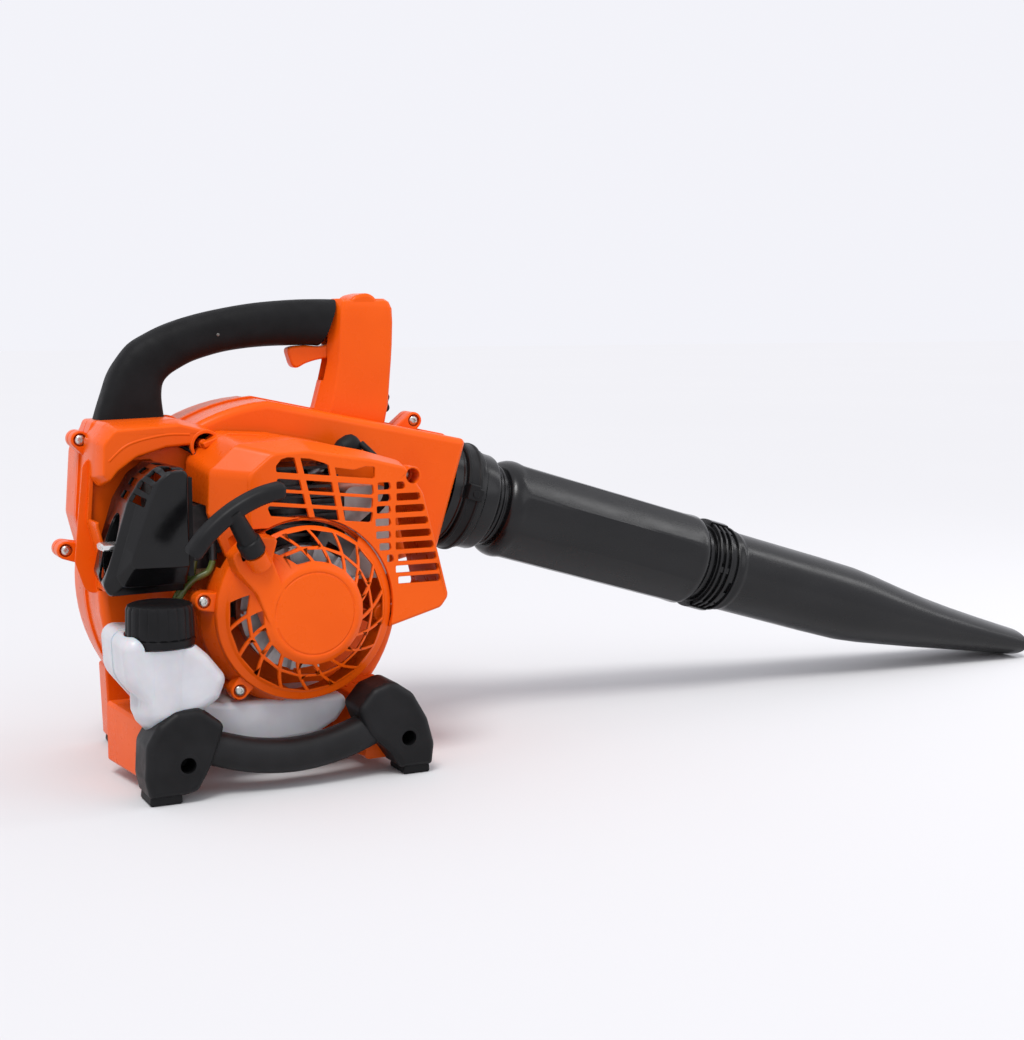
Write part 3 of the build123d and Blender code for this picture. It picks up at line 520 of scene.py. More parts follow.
def leg(x_case, x_boot):
    """An orange beam from the case down to its boot."""
    rings = []
    for y, x, z, w, h in ((-52, x_case, 33, 46, 46), (-128, x_boot, 30, 32, 44)):
        rings.append(at_y(rounded([(x - w / 2, z - h / 2), (x + w / 2, z - h / 2), (x + w / 2, z + h / 2),
                                   (x - w / 2, z + h / 2)], 3, 3), y))
    return skin(rings)


def duct_bore():
    return rod(on_tube(-34), on_tube(8), 43.2, 48)


def case_engine_half():
    """The half that carries the engine, with its front legs and the posts of the recoil starter."""
    front = slab(CASE, -52, SPLIT_Y - 0.15, 7, 0.4, 6)
    front = cut(front, slab(inset(CASE, CASE_WALL), -49, 4, 4), rod((0, -60, CRANK_Z), (0, -40, CRANK_Z), 20),
                duct_bore())
    pocket = rounded([(-137, 234), (-142, 190), (-145, 160), (-138, 138), (-112, 142), (-98, 170),
                      (-88, 236)], 6, 4)
    front = cut(front, slab(pocket, -60, -42, 0))
    floor = slab(inset(pocket, -CASE_WALL), -38, -35.5, 0.3)
    edge = [p for p in CASE if p[0] < -128 and 140 < p[1] < 230]
    wall = slab(edge + [(x + 2.8, z) for x, z in edge[::-1]], -68, -44, 1.0, 0.3)
    posts = [rod((x, -53, z), (x, -108, z), 5) for x, z in RECOIL_POSTS]
    posts.append(rod((-46, -53, 236), (-46, -100, 236), 5))
    legs = [leg(-108, -103), leg(62, 62)]
    lip = block(-127, -92, -60, -46, 10, 20, 2)
    seam = rim(-8.6, SPLIT_Y - 0.3, 1.6)
    whole = join(front, floor, wall, seam, lip, *ears(-17.4, SPLIT_Y - 0.2), *posts, *legs)
    piece("case_engine_half", whole, "orange_plastic", "root", ["fan_case_engine_side"], bevel=0.35)


def case_intake_half():
    """The half with the air inlet, crowned like a dish, and its two feet."""
    depth = [(d * 24, h * 24) for d, h in edge_steps(1.0, 9)]
    rings = [at_y(inset(CASE, 0.4), SPLIT_Y + 0.15), at_y(CASE, SPLIT_Y + 0.6)]
    rings += [at_y(shrunk(CASE, d), 55 - h) for d, h in depth[::-1]]
    inner = inset(CASE, CASE_WALL)
    hollow = [at_y(inner, -14)] + [at_y(shrunk(inner, d), 52 - h) for d, h in depth[::-1]]
    back = cut(skin(rings), skin(hollow), rod((0, 30, CRANK_Z), (0, 70, CRANK_Z), 56, 72), duct_bore())
    feet = [slab(rounded([(x - 13, 6), (x + 13, 6), (x + 15, 66), (x - 15, 66)], 2.5), 28, 52,
                 2) for x in (-98, 62)]
    seat = cut(lathe([(-4, 69), (1, 69), (2, 68), (2, 66.3), (-4, 66.3)], (0, 55, CRANK_Z), ACROSS, 72),
               rod((0, 40, CRANK_Z), (0, 70, CRANK_Z), 58, 72))
    whole = join(back, rim(SPLIT_Y + 0.3, -1.4, 1.6), seat, *ears(SPLIT_Y + 0.2, 4), *feet)
    piece("case_intake_half", whole, "orange_plastic", "root", ["fan_case_intake_side"], bevel=0.35)


def inlet_grille():
    """A domed grille: rings of slots between ribs."""
    profile = [(0, 66), (2.6, 66), (4, 64.6), (5, 60.5), (13.5, 47), (18.4, 36), (20, 30), (20, 0.5)]
    dome = lathe(profile, (0, 55, CRANK_Z), ACROSS, 72)
    inner = lathe([(-1, 57.4), (2.4, 57.4), (10.6, 46), (15.6, 35), (17.4, 29), (17.4, 0.5)],
                  (0, 55, CRANK_Z), ACROSS, 72)
    dome = cut(dome, inner)
    for r in (14, 24, 34, 44):
        sectors = []
        for k in range(12):
            half = 15 - degrees(1.7 / r)
            span = arc(r + 7, 30 * k - half, 30 * k + half, 5) + arc(r, 30 * k + half, 30 * k - half, 5)
            sectors.append(slab(span, 56.5, 80, 0))
        dome = cut(dome, join(*sectors))
    piece("inlet_grille", dome, "black_plastic", "root", ["intake_grille"], bevel=0.35)


# ---- handle ----
def superellipse(half_a, half_b, power, n=36):
    out = []
    for k in range(n):
        a = 2 * pi * k / n
        ca, sa = cos(a), sin(a)
        out.append((abs(ca) ** (2 / power) * (1 if ca >= 0 else -1) * half_a,
                    abs(sa) ** (2 / power) * (1 if sa >= 0 else -1) * half_b))
    return out


GRIP_PAIRS = [((-124, 262), (-71, 263)), ((-121, 272), (-72, 272)), ((-117, 284), (-72.5, 281)),
              ((-112.5, 297), (-71, 290)), ((-106, 308), (-66, 296)), ((-96, 320), (-58, 301)),
              ((-83, 328), (-48, 306)), ((-68, 335), (-36, 310)), ((-48, 341.5), (-22, 313.5)),
              ((-24, 347), (-5, 316)), ((4, 351.5), (14, 317.5)), ((34, 354), (34, 318)),
              ((56, 354.6), (47, 318)), ((70, 354.5), (56, 317.5))]


def grip():
    """The soft sleeve: sections between the handle's outer and inner lines."""
    outer = smooth([p[0] for p in GRIP_PAIRS], 5, False)
    inner = smooth([p[1] for p in GRIP_PAIRS], 5, False)
    rings = []
    for i, (o, n) in enumerate(zip(outer, inner)):
        share = i / (len(outer) - 1)
        centre, half = (Vector(o) + Vector(n)) / 2, (Vector(o) - Vector(n)) / 2
        power = 3.6 - 1.3 * min(share * 2.2, 1)
        wide = 17.0 - 1.2 * sin(pi * share)
        rings.append([(centre.x + half.x * b, SPLIT_Y + a, centre.y + half.y * b)
                      for a, b in superellipse(wide, 1, power, 40)])
    piece("grip_sleeve", skin(rings), "soft_grip", "root", ["handle_grip"], angle=50)
    dimple = lathe([(0, 1.3), (0.6, 1.2), (0.9, 0.7), (1.0, 0.1)], (-30, -20.6, 327), (0, -1, 0), 16)
    piece("grip_gate_mark", dimple, "coil_steel", "root")


def column_rings(side):
    """Sections of one shell of the column, from its foot up: side -1 is the engine side."""
    rows = [(236, 30, 50, 104, 13), (246, 41, 53, 106, 15), (255, 46, 57, 108.5, 16.5),
            (270, 52, 62, 111.5, 17),
            (288, 57, 66, 113, 17), (305, 61, 69, 114.5, 17), (318, 61, 70, 115.4, 17),
            (336, 63, 71, 116, 17),
            (347, 66, 72, 115.5, 17), (352.6, 68.5, 73, 113.5, 15.4), (355, 71, 75, 110.5, 12)]
    rings = []
    for z, left, edge, right, half in rows:
        y = SPLIT_Y + side * half
        seam = SPLIT_Y + side * 0.12
        outline = rounded([(left, seam, 0.3), (left, SPLIT_Y + side * 5, 2), (edge, y, 3), (right, y, 4),
                           (right, seam, 0.3)], 2, 5)
        rings.append([(x, yy, z) for x, yy in outline])
    return rings


def shell_slab(side, points, depth, edge):
    """A slab of one handle shell, from the seam outwards, rounded on its outer side."""
    y0, y1 = sorted((SPLIT_Y + side * 0.12, SPLIT_Y + side * depth))
    return slab(points, y0, y1, edge if side < 0 else 0.3, 0.3 if side < 0 else edge)


def handle_shells():
    foot = rounded([(-136, 236), (-133, 252), (-128.5, 263.4), (-69, 263.4), (-58, 255), (-52, 238)], 4)
    for side, name, node in ((-1, "handle_shell_front", "handle_shell_engine_side"),
                             (1, "handle_shell_back", "handle_shell_intake_side")):
        slot = block(18, 83, SPLIT_Y - 6.6, SPLIT_Y + 6.6, 290, 330, 0.5)
        window = block(104, 122, SPLIT_Y - 6, SPLIT_Y + 6, 262, 280, 0.3)
        parts = [cut(skin(column_rings(side)), slot, window),
                 shell_slab(side, hull([(93, 348.5, 10.8), (88, 348, 10.2)]), 15.5, 3),
                 shell_slab(side, foot, 17.4, 2.5)]
        if side < 0:
            parts += shroud()
        piece(name, join(*parts), "orange_plastic", "root", [node], bevel=0.35)


def shroud():
    """The hood that reaches out over the air filter from the rear of the handle."""
    top = [(-136, 224, 3), (-135, 250, 8), (-126, 263.5, 6), (-72, 265, 8), (-47, 258, 8), (-41, 243, 4),
           (-44, 234, 3),
           (-52, 233.5, 2), (-64, 244.5, 8), (-84, 243, 10), (-108, 235.5, 8), (-123, 224.5, 4),
           (-130, 214, 3)]
    front = [(-132, 226, 3), (-131, 249, 8), (-122, 259, 6), (-73, 262, 8), (-50, 256, 8), (-44, 243, 4),
             (-46, 236, 3),
             (-54, 235.5, 2), (-65, 246, 8), (-84, 244.5, 10), (-106, 238, 8), (-120, 228, 4), (-127, 219, 3)]
    a, b = rounded(top, 3, 5), rounded(front, 3, 5)
    x, z = HOOD_SCREW
    rings = [at_y(inset(b, 2.4), -64.5), at_y(inset(b, 0.7), -63.6), at_y(b, -61.8), at_y(a, -50),
             at_y(a, -21)]
    pocket = lathe([(0, 9.6), (18, 9.6)], (x, -70, z), ACROSS, 40)
    crease = sweep(at_y(smooth([(-127, 236), (-112, 248), (-86, 254), (-66, 254)], 6, False), -63.4), 1.5)
    stub = rod((-56, -66, 246.5), (-56, -48, 246.5), 3.6)
    ring = cut(lathe([(0, 11.4), (0.5, 12.2), (16, 12.2)], (x, -65.4, z), ACROSS, 40),
               rod((x, -80, z), (x, -30, z), 9.6, 40))
    return [cut(skin(rings), pocket), crease, stub, ring]


def small_controls():
    blade = smooth([(30.5, 316), (31.5, 307), (34, 301.5), (38, 300.3), (45, 303.6), (53, 306), (62, 307.5),
                    (74, 309),
                    (80, 313), (80, 324), (73, 332), (68, 323), (59, 317.5), (44, 318)], 5)
    piece("trigger_blade", slab(blade, -10.8, 0.8, 2.2), "orange_plastic", "trigger", ["throttle_trigger"],
          bevel=0.2)
    rocker = slab(smooth([(109, 263.4), (114.6, 263.2), (116.9, 266.5), (115.6, 271), (116.9, 275.5),
                          (114.6, 278.8),
                          (109, 278.6)], 4), -10.3, 0.3, 1.2)
    piece("switch_rocker", rocker, "black_plastic", "switch", ["stop_switch"], bevel=0.2)


# ---- engine cover ----
COVER_FRONT = [(-43, 196, 4), (-43, 228, 10), (-24, 243.5, 12), (4, 244.5, 20), (52, 236.5, 30),
               (80, 229.5, 10),
               (94, 209, 16), (105.5, 165, 30), (114.5, 129, 7), (108, 120.5, 7), (66, 109, 10), (40, 92, 12),
               (0, 118, 30), (-40, 160, 12)]
COVER_MID = [(-68, 200, 4), (-66.5, 230, 10), (-46, 249, 12), (0, 251.5, 20), (52, 241, 30), (82, 232, 10),
             (96, 211, 16), (107, 166, 30), (116.5, 129, 7), (109, 119, 7), (66, 107, 10), (40, 90, 12),
             (0, 118, 30), (-52, 160, 12)]
COVER_BACK = [(-69, 200, 4), (-68, 236, 10), (-46, 256, 14), (-6, 253.5, 20), (50, 242.5, 30), (84, 232, 10),
              (98, 213, 16), (109, 168, 30), (117.5, 130, 7), (110, 118, 7), (66, 105.5, 10), (40, 88, 12),
              (0, 118, 30), (-56, 160, 12)]


def cover_rings(inner):
    a, b, c = (rounded(p, 4, 6) for p in (COVER_FRONT, COVER_MID, COVER_BACK))
    if inner:
        d = 2.6
        return [at_y(inset(a, d + 1.5), -127.4), at_y(inset(a, d), -126), at_y(inset(b, d), -111),
                at_y(inset(c, d), -60), at_y(inset(c, d), -40)]
    return [at_y(inset(a, 2.6), -131.2), at_y(inset(a, 1.2), -130.9), at_y(inset(a, 0.3), -130),
            at_y(a, -128.8),
            at_y(b, -113.5), at_y(inset(b, -0.35), -112), at_y(c, -58), at_y(inset(c, 0.5), -56.5)]


def left_louvres():
    """Four long slots that run down to the right, crossed by two slanted ribs."""
    fall = 0.105
    brow = [(-22, 234), (-18, 238.6), (-13, 240), (4, 238.2), (15, 234.6), (22, 231.2), (38, 228.8),
            (47, 231),
            (54.5, 230.4)]
    slots = []
    for k, (z, left) in enumerate(((225.6, -22), (219.2, -21.6), (209.2, -28.5), (198.8, -29.5))):
        edge = [(x, z + 3.4 - fall * x) for x in (left, 53)] if k else brow
        low = z - 4.2 if k else z + 1.6
        start = left + 3 if k == 3 else left
        slots.append(rounded(edge + [(54.5 - k, low - fall * 54), (start, low - fall * left)], 1.6, 3))
    parts = []
    for shape in slots:
        cutter = slab(shape, -140, -118, 0)
        for foot, head in ((6.2, -6.8), (28.7, 18.4)):
            rib = [(foot - 2.3, 190), (foot + 2.3, 190), (head + 2.3, 244), (head - 2.3, 244)]
            cutter = cut(cutter, slab(rib, -145, -112, 0))
        parts.append(cutter)
    return parts


def right_louvres():
    """Rows of slots between level bars, split by upright bars."""
    rows = [(215.6, (57, 67), (72, 78.5)), (206.8, (57, 67), (72, 91)), (197.9, (56, 67), (71, 94.6)),
            (188.4, (55, 67), (71, 97.4)), (178.9, (55.5, 67), (71, 99.6)), (169.9, (58, 67), (71, 101.8)),
            (160.9, (64, 69), (73, 104)), (152.2, (71, 105.8)), (143.8, (73, 107.2))]
    parts = []
    for z, *spans in rows:
        for a, b in spans:
            shape = [(a, z - 2.8, 1), (b + 0.7, z - 2.8, 1.8), (b - 0.7, z + 2.8, 1.8), (a - 0.2, z + 2.8, 1)]
            parts.append(slab(rounded(shape, 1, 3), -140, -118, 0))
    return parts


def engine_cover():
    x, z = COVER_SCREW
    cover = cut(skin(cover_rings(False)), skin(cover_rings(True)))
    cover = cut(cover, rod((0, -150, CRANK_Z), (0, -30, CRANK_Z), 68.3, 96))
    cover = cut(cover, block(30, 92, -103, -30, 222, 275, 2))
    cover = cut(cover, slab([(-90, 150), (-38, 150), (-38, 205), (-72, 205)], -109, -30, 0))
    cover = cut(cover, join(*left_louvres()), join(*right_louvres()), rod((x, -140, z), (x, -112, z), 5.7,
                                                                          32))
    cover = cut(cover, slab([(-16, 150), (-22, 189), (-46, 189), (-64, 174), (-60, 150)], -150, -117, 0))
    for px, pz in RECOIL_POSTS:
        cover = cut(cover, rod((px, -127.2, pz), (px, -30, pz), 7.6))
    cup = lathe([(0, 7.2), (16, 7.2)], (x, -129.6, z), ACROSS, 32)
    cup = cut(cup, rod((x, -140, z), (x, -115, z), 5.7, 32))
    brow = rounded([(-58, 244), (-40, 251.4), (0, 248.6), (60, 236.5), (78, 231.5), (78, 233.6), (60, 239.5),
                    (0, 252),
                    (-40, 255), (-60, 248)], 1, 3)
    whole = join(cover, cup, slab(brow, -76, -66, 1))
    piece("engine_cover_shell", whole, "orange_plastic", "root", ["engine_cover"], bevel=0.55)


# ---- recoil starter ----
def recoil_housing():
    outer = [(0.0, 0.5), (0.0, 29.4), (0.6, 29.8), (0.6, 30.6), (0.0, 31), (0.1, 33.2), (1.2, 35.2),
             (3.0, 37.4),
             (17.6, 60.2), (19.2, 61.4), (20.0, 62.4), (22.0, 67.2), (24.2, 68), (52, 68)]
    inner = [(3, 0.5), (3, 34), (5.6, 36.4), (20, 59.4), (22.6, 64.6), (60, 65.4)]
    face, hollow = (lathe(profile, (0, -150, CRANK_Z), ACROSS, 120) for profile in (outer, inner))
    cells = [swirl_cell(k, r0, r1) for k in range(18) for r0, r1 in ((38.2, 46.4), (48.6, 59.6))]
    crescent = arc(66.6, 49, 117, 16) + arc(62.4, 117, 49, 16)
    opening = [(0, CRANK_Z), (100, CRANK_Z - 20), (100, 270), (-80, 270), (-70, 165)]
    cup = cut(face, hollow, join(*[cell for cell in cells if cell]), slab(crescent, -140, -120, 0),
              slab(opening, -113, -90, 0))
    lugs = []
    for x, z in RECOIL_POSTS:
        root = (x * 0.86, CRANK_Z + (z - CRANK_Z) * 0.86, 7.4)
        lug = slab(hull([(x, z, 6.8), root]), -124, -112, 1.4, 0.4, 3)
        seat = rod((x, -128, z), (x, -121.4, z), 4.9, edge=0)
        lugs.append(cut(lug, rod((x, -130, z), (x, -100, z), 2.5), seat))
    bridge = lathe([(0, 8), (12, 8)], GUIDE - PULL * 11, PULL, 32)
    bridge = cut(bridge, rod(GUIDE - PULL * 20, GUIDE + PULL * 9, 5.4))
    flange = skin([at_y(arc(r, 167, 258, 40) + arc(60, 258, 167, 40), y)
                   for y, r in ((-123.5, 67.4), (-121, 69.0), (-109, 74.0), (-107.6, 74.4), (-98.5, 74.4))])
    whole = join(cup, arm_slab(), bridge, flange, *lugs)
    piece("recoil_housing_shell", whole, "orange_plastic", "root", ["recoil_housing"], bevel=0.45)
    eyelet = cut(lathe([(0, 5.1), (6, 5.1), (7.4, 6.6), (8.4, 6.4), (9, 5.2)], GUIDE - PULL * 5, PULL, 32),
                 rod(GUIDE - PULL * 12, GUIDE + PULL * 12, 2.4, edge=0))
    piece("rope_eyelet", eyelet, "pull_black", "root", ["rope_guide"])


def swirl_cell(k, r0, r1):
    """The gap between two neighbouring slanted ribs, from r0 to r1, or nothing behind the rope arm."""
    def rib(r, index):
        return 8.5 + 20 * index - 19 * (59 - r) / 22
    middle = (rib((r0 + r1) / 2, k) + 10) % 360
    if 121 < middle < 166:
        return None
    cell = []
    for start, end, index, half_rib in ((r0, r1, k, 1.35), (r1, r0, k + 1, -1.35)):
        for r in (start + (end - start) * j / 4 for j in range(5)):
            cell.append(polar(rib(r, index) + degrees(half_rib / r), r))
    return slab(cell, -160, -118, 0)


def arm_slab():
    """The solid arm from the hub out to the rope guide, at the height of the hub's face."""
    shape = [(-24.5, 150.5, 3), (-31, 168, 2), (-26, 184, 3), (-45, 186, 4), (-60, 172, 4), (-56, 160, 6),
             (-43.5, 144, 10), (-33, 116, 4), (-12, 122, 1), (-12, 140, 1)]
    a = rounded(shape, 3, 4)
    bm = skin([at_y(inset(a, d), y) for y, d in ((-149.9, 2.2), (-149.4, 0.9), (-148.2, 0.0), (-128, -0.4))])
    for v in bm.verts:
        r = hypot(v.co.x, v.co.z - CRANK_Z)
        v.co.y += max(0, r - 40) * 0.16 * (1 if v.co.y < -140 else 0)
    return cut(bm, rod(GUIDE - PULL * 2, GUIDE + PULL * 45, 10.4, 32))


def pull_handle():
    """A curved knurled bar on a stem, at the end of the starter rope."""
    foot, head = GUIDE + PULL * 2.6, GUIDE + PULL * 41
    across = Vector((0.806, -0.01, 0.592))
    across = (across - PULL * across.dot(PULL)).normalized()
    out = PULL.cross(across).normalized()
    span = [(-39.5, -9.5), (-33, -6.4), (-24, -3.0), (-12, -0.6), (0, 0.2), (12, -0.6), (24, -3.0),
            (33, -6.4), (39.5, -9.5)]
    line = smooth([tuple(head + across * a + PULL * b) for a, b in span], 5, False)
    rings = []
    for i, p in enumerate(line):
        p, d = Vector(p), heading(line, i)
        u = out.cross(d).normalized()
        t = abs(i / (len(line) - 1) * 2 - 1)
        size = 6.6 * (0.94 if t < 0.9 else (0.94 - (t - 0.9) * 1.6))
        rings.append([p + (u * a + out * b) * size for a, b in superellipse(1, 1.02, 2.9, 28)])
    bar = skin(rings)
    for i in range(7, len(line) - 7):
        if abs(i - len(line) // 2) < 6:
            continue
        p, d = Vector(line[i]), heading(line, i)
        u = out.cross(d).normalized()
        ridge = [p + u * 5.6 + out * b for b in (-3.4, 3.4)]
        bar = join(bar, rod(ridge[0], ridge[1], 0.75, 8, 0.2))
    stem = lathe([(0, 8.2), (0.8, 9), (10.5, 9), (11.4, 8.4), (12, 7.3), (30, 6.5), (40, 7.4)], foot, PULL,
                 36)
    piece("pull_bar", join(bar, stem), "pull_black", "pull", ["starter_handle"], angle=40)


def starter_rope():
    """The braided lead from inside the housing to the handle, left off the rigid bodies."""
    low, high, n = GUIDE - PULL * 7, GUIDE + PULL * 8, 120
    side, up = frame_of(low, PULL)[2:]
    rings = []
    for k in range(n + 1):
        p = low + (high - low) * k / n
        ring = []
        for j in range(16):
            a = 2 * pi * j / 16
            r = 1.55 + 0.12 * cos(4 * a + k * 0.5) + 0.1 * cos(4 * a - k * 0.5)
            ring.append(p + (side * cos(a) + up * sin(a)) * r)
        rings.append(ring)
    lead = piece("rope_lead", skin(rings), "rope", "root", ["starter_rope"])
    lead.parent = None
    del lead["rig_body"]
    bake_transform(lead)


# ---- intake ----
FILTER_RINGS = [
    (-57, [(-84, 147), (-84, 233), (-100, 236), (-113, 227), (-124, 209), (-133, 181), (-139, 156),
           (-136, 147)]),
    (-104, [(-84, 144), (-84, 234), (-102, 235.5), (-115.5, 225), (-124, 211), (-133.5, 180), (-143, 151),
            (-139, 143)]),
    (-112, [(-84, 150), (-84, 234), (-101, 234.5), (-111.5, 223), (-118, 213), (-129, 178), (-135, 158),
            (-131, 150)]),
    (-121, [(-84, 163), (-84, 232.5), (-98, 232), (-105, 226), (-112, 211), (-125.5, 174), (-127, 167),
            (-124, 163)])]


def filter_rings(d):
    radii = (2, 4, 8, 12, 14, 20, 6, 6)
    back, side, ridge, face = (rounded([(*p, r) for p, r in zip(points, radii)], 3, 5) for y,
                               points in FILTER_RINGS)
    if d:
        rows = ((face, d + 1, -118.4), (ridge, d, -111), (side, d, -103), (back, d, -50))
    else:
        rows = ((face, 2.4, -121.6), (face, 0.9, -121.2), (face, 0, -120), (ridge, 1.2, -113.6),
                (ridge, -0.2, -112),
                (ridge, 0.6, -110.4), (side, 0.7, -105.6), (side, 0, -104), (back, 0, -58), (back, 0.8, -57))
    return [at_y(inset(shape, e) if e else shape, y) for shape, e, y in rows]


def filter_cover():
    def window(x, k):
        return [(x, -88.5 + y * k, 176.5 + z * k) for y, z in superellipse(15, 24.5, 2.2, 40)]
    cover = cut(skin(filter_rings(0)), skin(filter_rings(2.4)), skin([window(-160, 1), window(-100, 1)]))
    sleeve = cut(skin([window(-136, 1.08), window(-112, 1.08)]),
                 skin([window(-170, 1.0), window(-100, 0.94)]))
    trim = [at_y(inset(rounded(FILTER_RINGS[k][1], 6, 5), 1.0), y) for k, y in ((1, -130), (0, -50))]
    sleeve = boolean(sleeve, skin(trim), "INTERSECT")
    slots = []
    for (x, z), lean in (((-97.5, 235), 20), ((-107, 230), 42), ((-114.3, 222), 52), ((-119.6, 213), 60)):
        for y0, y1 in ((-117.5, -105), (-98, -80)):
            box = block(-2.9, 2.9, y0, y1, -7, 9, 0.8)
            slots.append(moved(box, Matrix.Translation((x, 0, z)) @ Matrix.Rotation(radians(-lean), 4, "Y")))
    cover = cut(cover, *slots)
    piece("filter_cover_shell", join(cover, sleeve), "gloss_black", "root", ["air_filter_cover"], bevel=0.4)
    blade = skin([[(x, -88 + y * w, 177 + z * h) for y, z in superellipse(1, 1, 3, 24)]
                  for x, w, h in ((-141, 8, 2.0), (-140, 10, 2.8), (-134, 11, 3.0), (-128, 9, 2.6),
                                  (-124, 3, 2.2), (-84, 2.2, 2.2))])
    piece("choke_blade", blade, "lever_metal", "choke", ["choke_lever"])


def fuel_tank():
    lobe = rounded([(-140.5, 121, 9), (-139, 88, 18), (-114, 56, 10), (-98, 54, 10), (-72, 71, 9),
                    (-66, 86, 9),
                    (-79, 103, 12), (-95, 118, 9)], 6, 6)
    bulge = lathe([(0, 12), (8, 19), (16, 22), (60, 22.4), (66, 20)], (*CAP_AXIS, 50), UPWARD, 48)
    seat = lathe([(0, 24.9), (0.6, 25.3), (60, 25.3)], (*CAP_AXIS, 110.2), UPWARD, 64)
    body = cut(boolean(slab(lobe, -151.5, -76, 9, 6, 6), bulge, "UNION"), seat)
    belly = slab(rounded([(-86, 66), (-72, 38), (-54, 29), (-20, 26.5), (10, 28.5), (28, 38), (36.5, 49),
                          (34, 58), (-60, 60)], 7, 4),
                 -118, -61, 5, 5, 4)
    neck = lathe([(0, 19.5), (3, 18.2), (18, 18.2)], (*CAP_AXIS, 108), UPWARD, 48)
    seam = cut(slab(inset(lobe, -0.5), -112.6, -111.4, 0.3), slab(inset(lobe, 2), -120, -100, 0))
    piece("tank_shell", join(body, belly, neck, seam), "tank_plastic", "root", ["fuel_tank"], angle=50)
    profile = [(0, 22.8), (0.8, 24.0), (5.4, 24.4), (6.2, 23.4), (7.2, 24.3), (26.5, 23.7), (29.2, 22.6),
               (30.2, 20.4),
               (30.3, 17.0), (29.9, 16.4), (29.9, 0.5)]

    def fluted(s, a):
        return 1 - 0.035 * max(0, cos(20 * a)) ** 3 if 7 < s < 29.5 else 1
    cap = lathe(profile, (*CAP_AXIS, 110.7), UPWARD, 160, fluted)
    piece("cap_body", cap, "black_plastic", "cap", ["fuel_cap"])


def hoses():
    routes = [((-91, -92, 103), (-91, -92, 120), (-87.4, -94, 138), (-78, -96, 150), (-74, -97, 164.4)),
              ((-89, -100, 103), (-89, -100, 119), (-87.2, -101, 137), (-77.5, -102.5, 150), (-66, -103, 156),
               (-62, -103, 164.4))]
    for name, route in zip(("fuel_hose_feed", "fuel_hose_return"), routes):
        piece(name, sweep(smooth(route, 10, False), 2.5, 16), "fuel_hose", "root", ["fuel_hoses"])


# ---- stand ----
def boots():
    """The two moulded boots, each with a round socket in its face."""
    rear = [(-127.5, 44, 10), (-119, 58, 8), (-107, 66.5, 8), (-89, 67.5, 9), (-71, 54, 6), (-75, 42, 12),
            (-81, 26, 14), (-91, 8, 8), (-101, 6, 2), (-126, 6, 3), (-129, 20, 10)]
    front = [(30, 54, 6), (42, 68, 10), (58, 73.2, 10), (74, 62, 12), (85.5, 42, 14), (91, 22, 12),
             (89, 6, 3),
             (64, 6, 3), (55, 19, 8), (38, 34, 12)]
    parts = []
    for points, x, z in ((rear, -99, 28), (front, 69, 29)):
        shape = rounded(points, 4, 5)
        rings = [at_y(inset(shape, d), -158 + h) for d, h in edge_steps(5.5, 6)]
        rings += [at_y(shape, -126), at_y(inset(shape, 1.2), -122)]
        collar = lathe([(0, 7.4), (0.7, 8.6), (2, 9.4)], (x, -158.4, z), ACROSS, 40)
        parts.append(cut(skin(rings), rod((x, -162, z), (x, -136, z), 5.6, 32, 0)))
        parts.append(cut(collar, rod((x, -170, z), (x, -140, z), 5.6, 32, 0)))
    piece("boots", join(*parts), "boot_rubber", "root", ["stand_boots"], bevel=0.5)


def front_bar():
    """The bar that hangs between the boots, with a ledge along its top."""
    line = smooth([(-92, -141, 41), (-72, -143.5, 33.5), (-46, -145.4, 26.6), (-18, -146, 24),
                   (10, -145.4, 26.8),
                   (36, -143.5, 33.8), (56, -141, 42)], 6, False)
    rings = []
    for i, p in enumerate(line):
        d = heading(line, i)
        side = Vector(ACROSS) - d * d.y
        side.normalize()
        up = side.cross(d)
        up = up if up.z > 0 else -up
        rings.append([Vector(p) + side * a + up * b for a, b in superellipse(12.4, 12.6, 2.35, 32)])
    ledge = sweep([Vector(p) + Vector((0, -8.4, 8.2)) for p in line[5:-5]], 1.5, 10)
    piece("front_bar", join(skin(rings), ledge), "bar_rubber", "root", ["stand_bar"], angle=60)


def foot_pads():
    pads = []
    for x, width, y0, y1 in ((-126, 24, -154, -126), (66, 22, -154, -126), (-110, 24, 32, 50),
                             (50, 24, 32, 50)):
        outline = [(x, 0), (x + width, 0), (x + width - 1, 8), (x + 1, 8)]
        pads.append(slab(rounded(outline, 2, 3), y0, y1, 1.5))
    piece("foot_pad_set", join(*pads), "black_rubber", "root", ["foot_pads"])


# ---- air tubes ----
def tube_ring(s, half_w, half_h, lift=0.0, facet=0.0, n=96):
    """A section of a tube, s along its axis. facet pulls the circle towards an octagon."""
    up = Vector((AXIS.z * -1, 0, AXIS.x))
    ring = []
    for k, (x, z) in enumerate(superellipse(half_w, half_h, 2, n)):
        octagon = cos(pi / 8) / cos((2 * pi * k / n + pi / 8) % (pi / 4) - pi / 8)
        f = 1 - facet * (1 - octagon)
        ring.append(on_tube(s) + Vector((0, 1, 0)) * (x * f) + up * (z * f + lift))
    return ring


def hollow_tube(outer, inner):
    """A tube wall between two lists of rings, with both ends joined."""
    return skin(outer + inner[::-1] + [outer[0]], caps=False)


def round_rings(profile):
    """Round sections from (s, r) pairs. A third number is how far the section is an octagon."""
    return [tube_ring(s, r, r, 0, *facet) for s, r, *facet in profile]


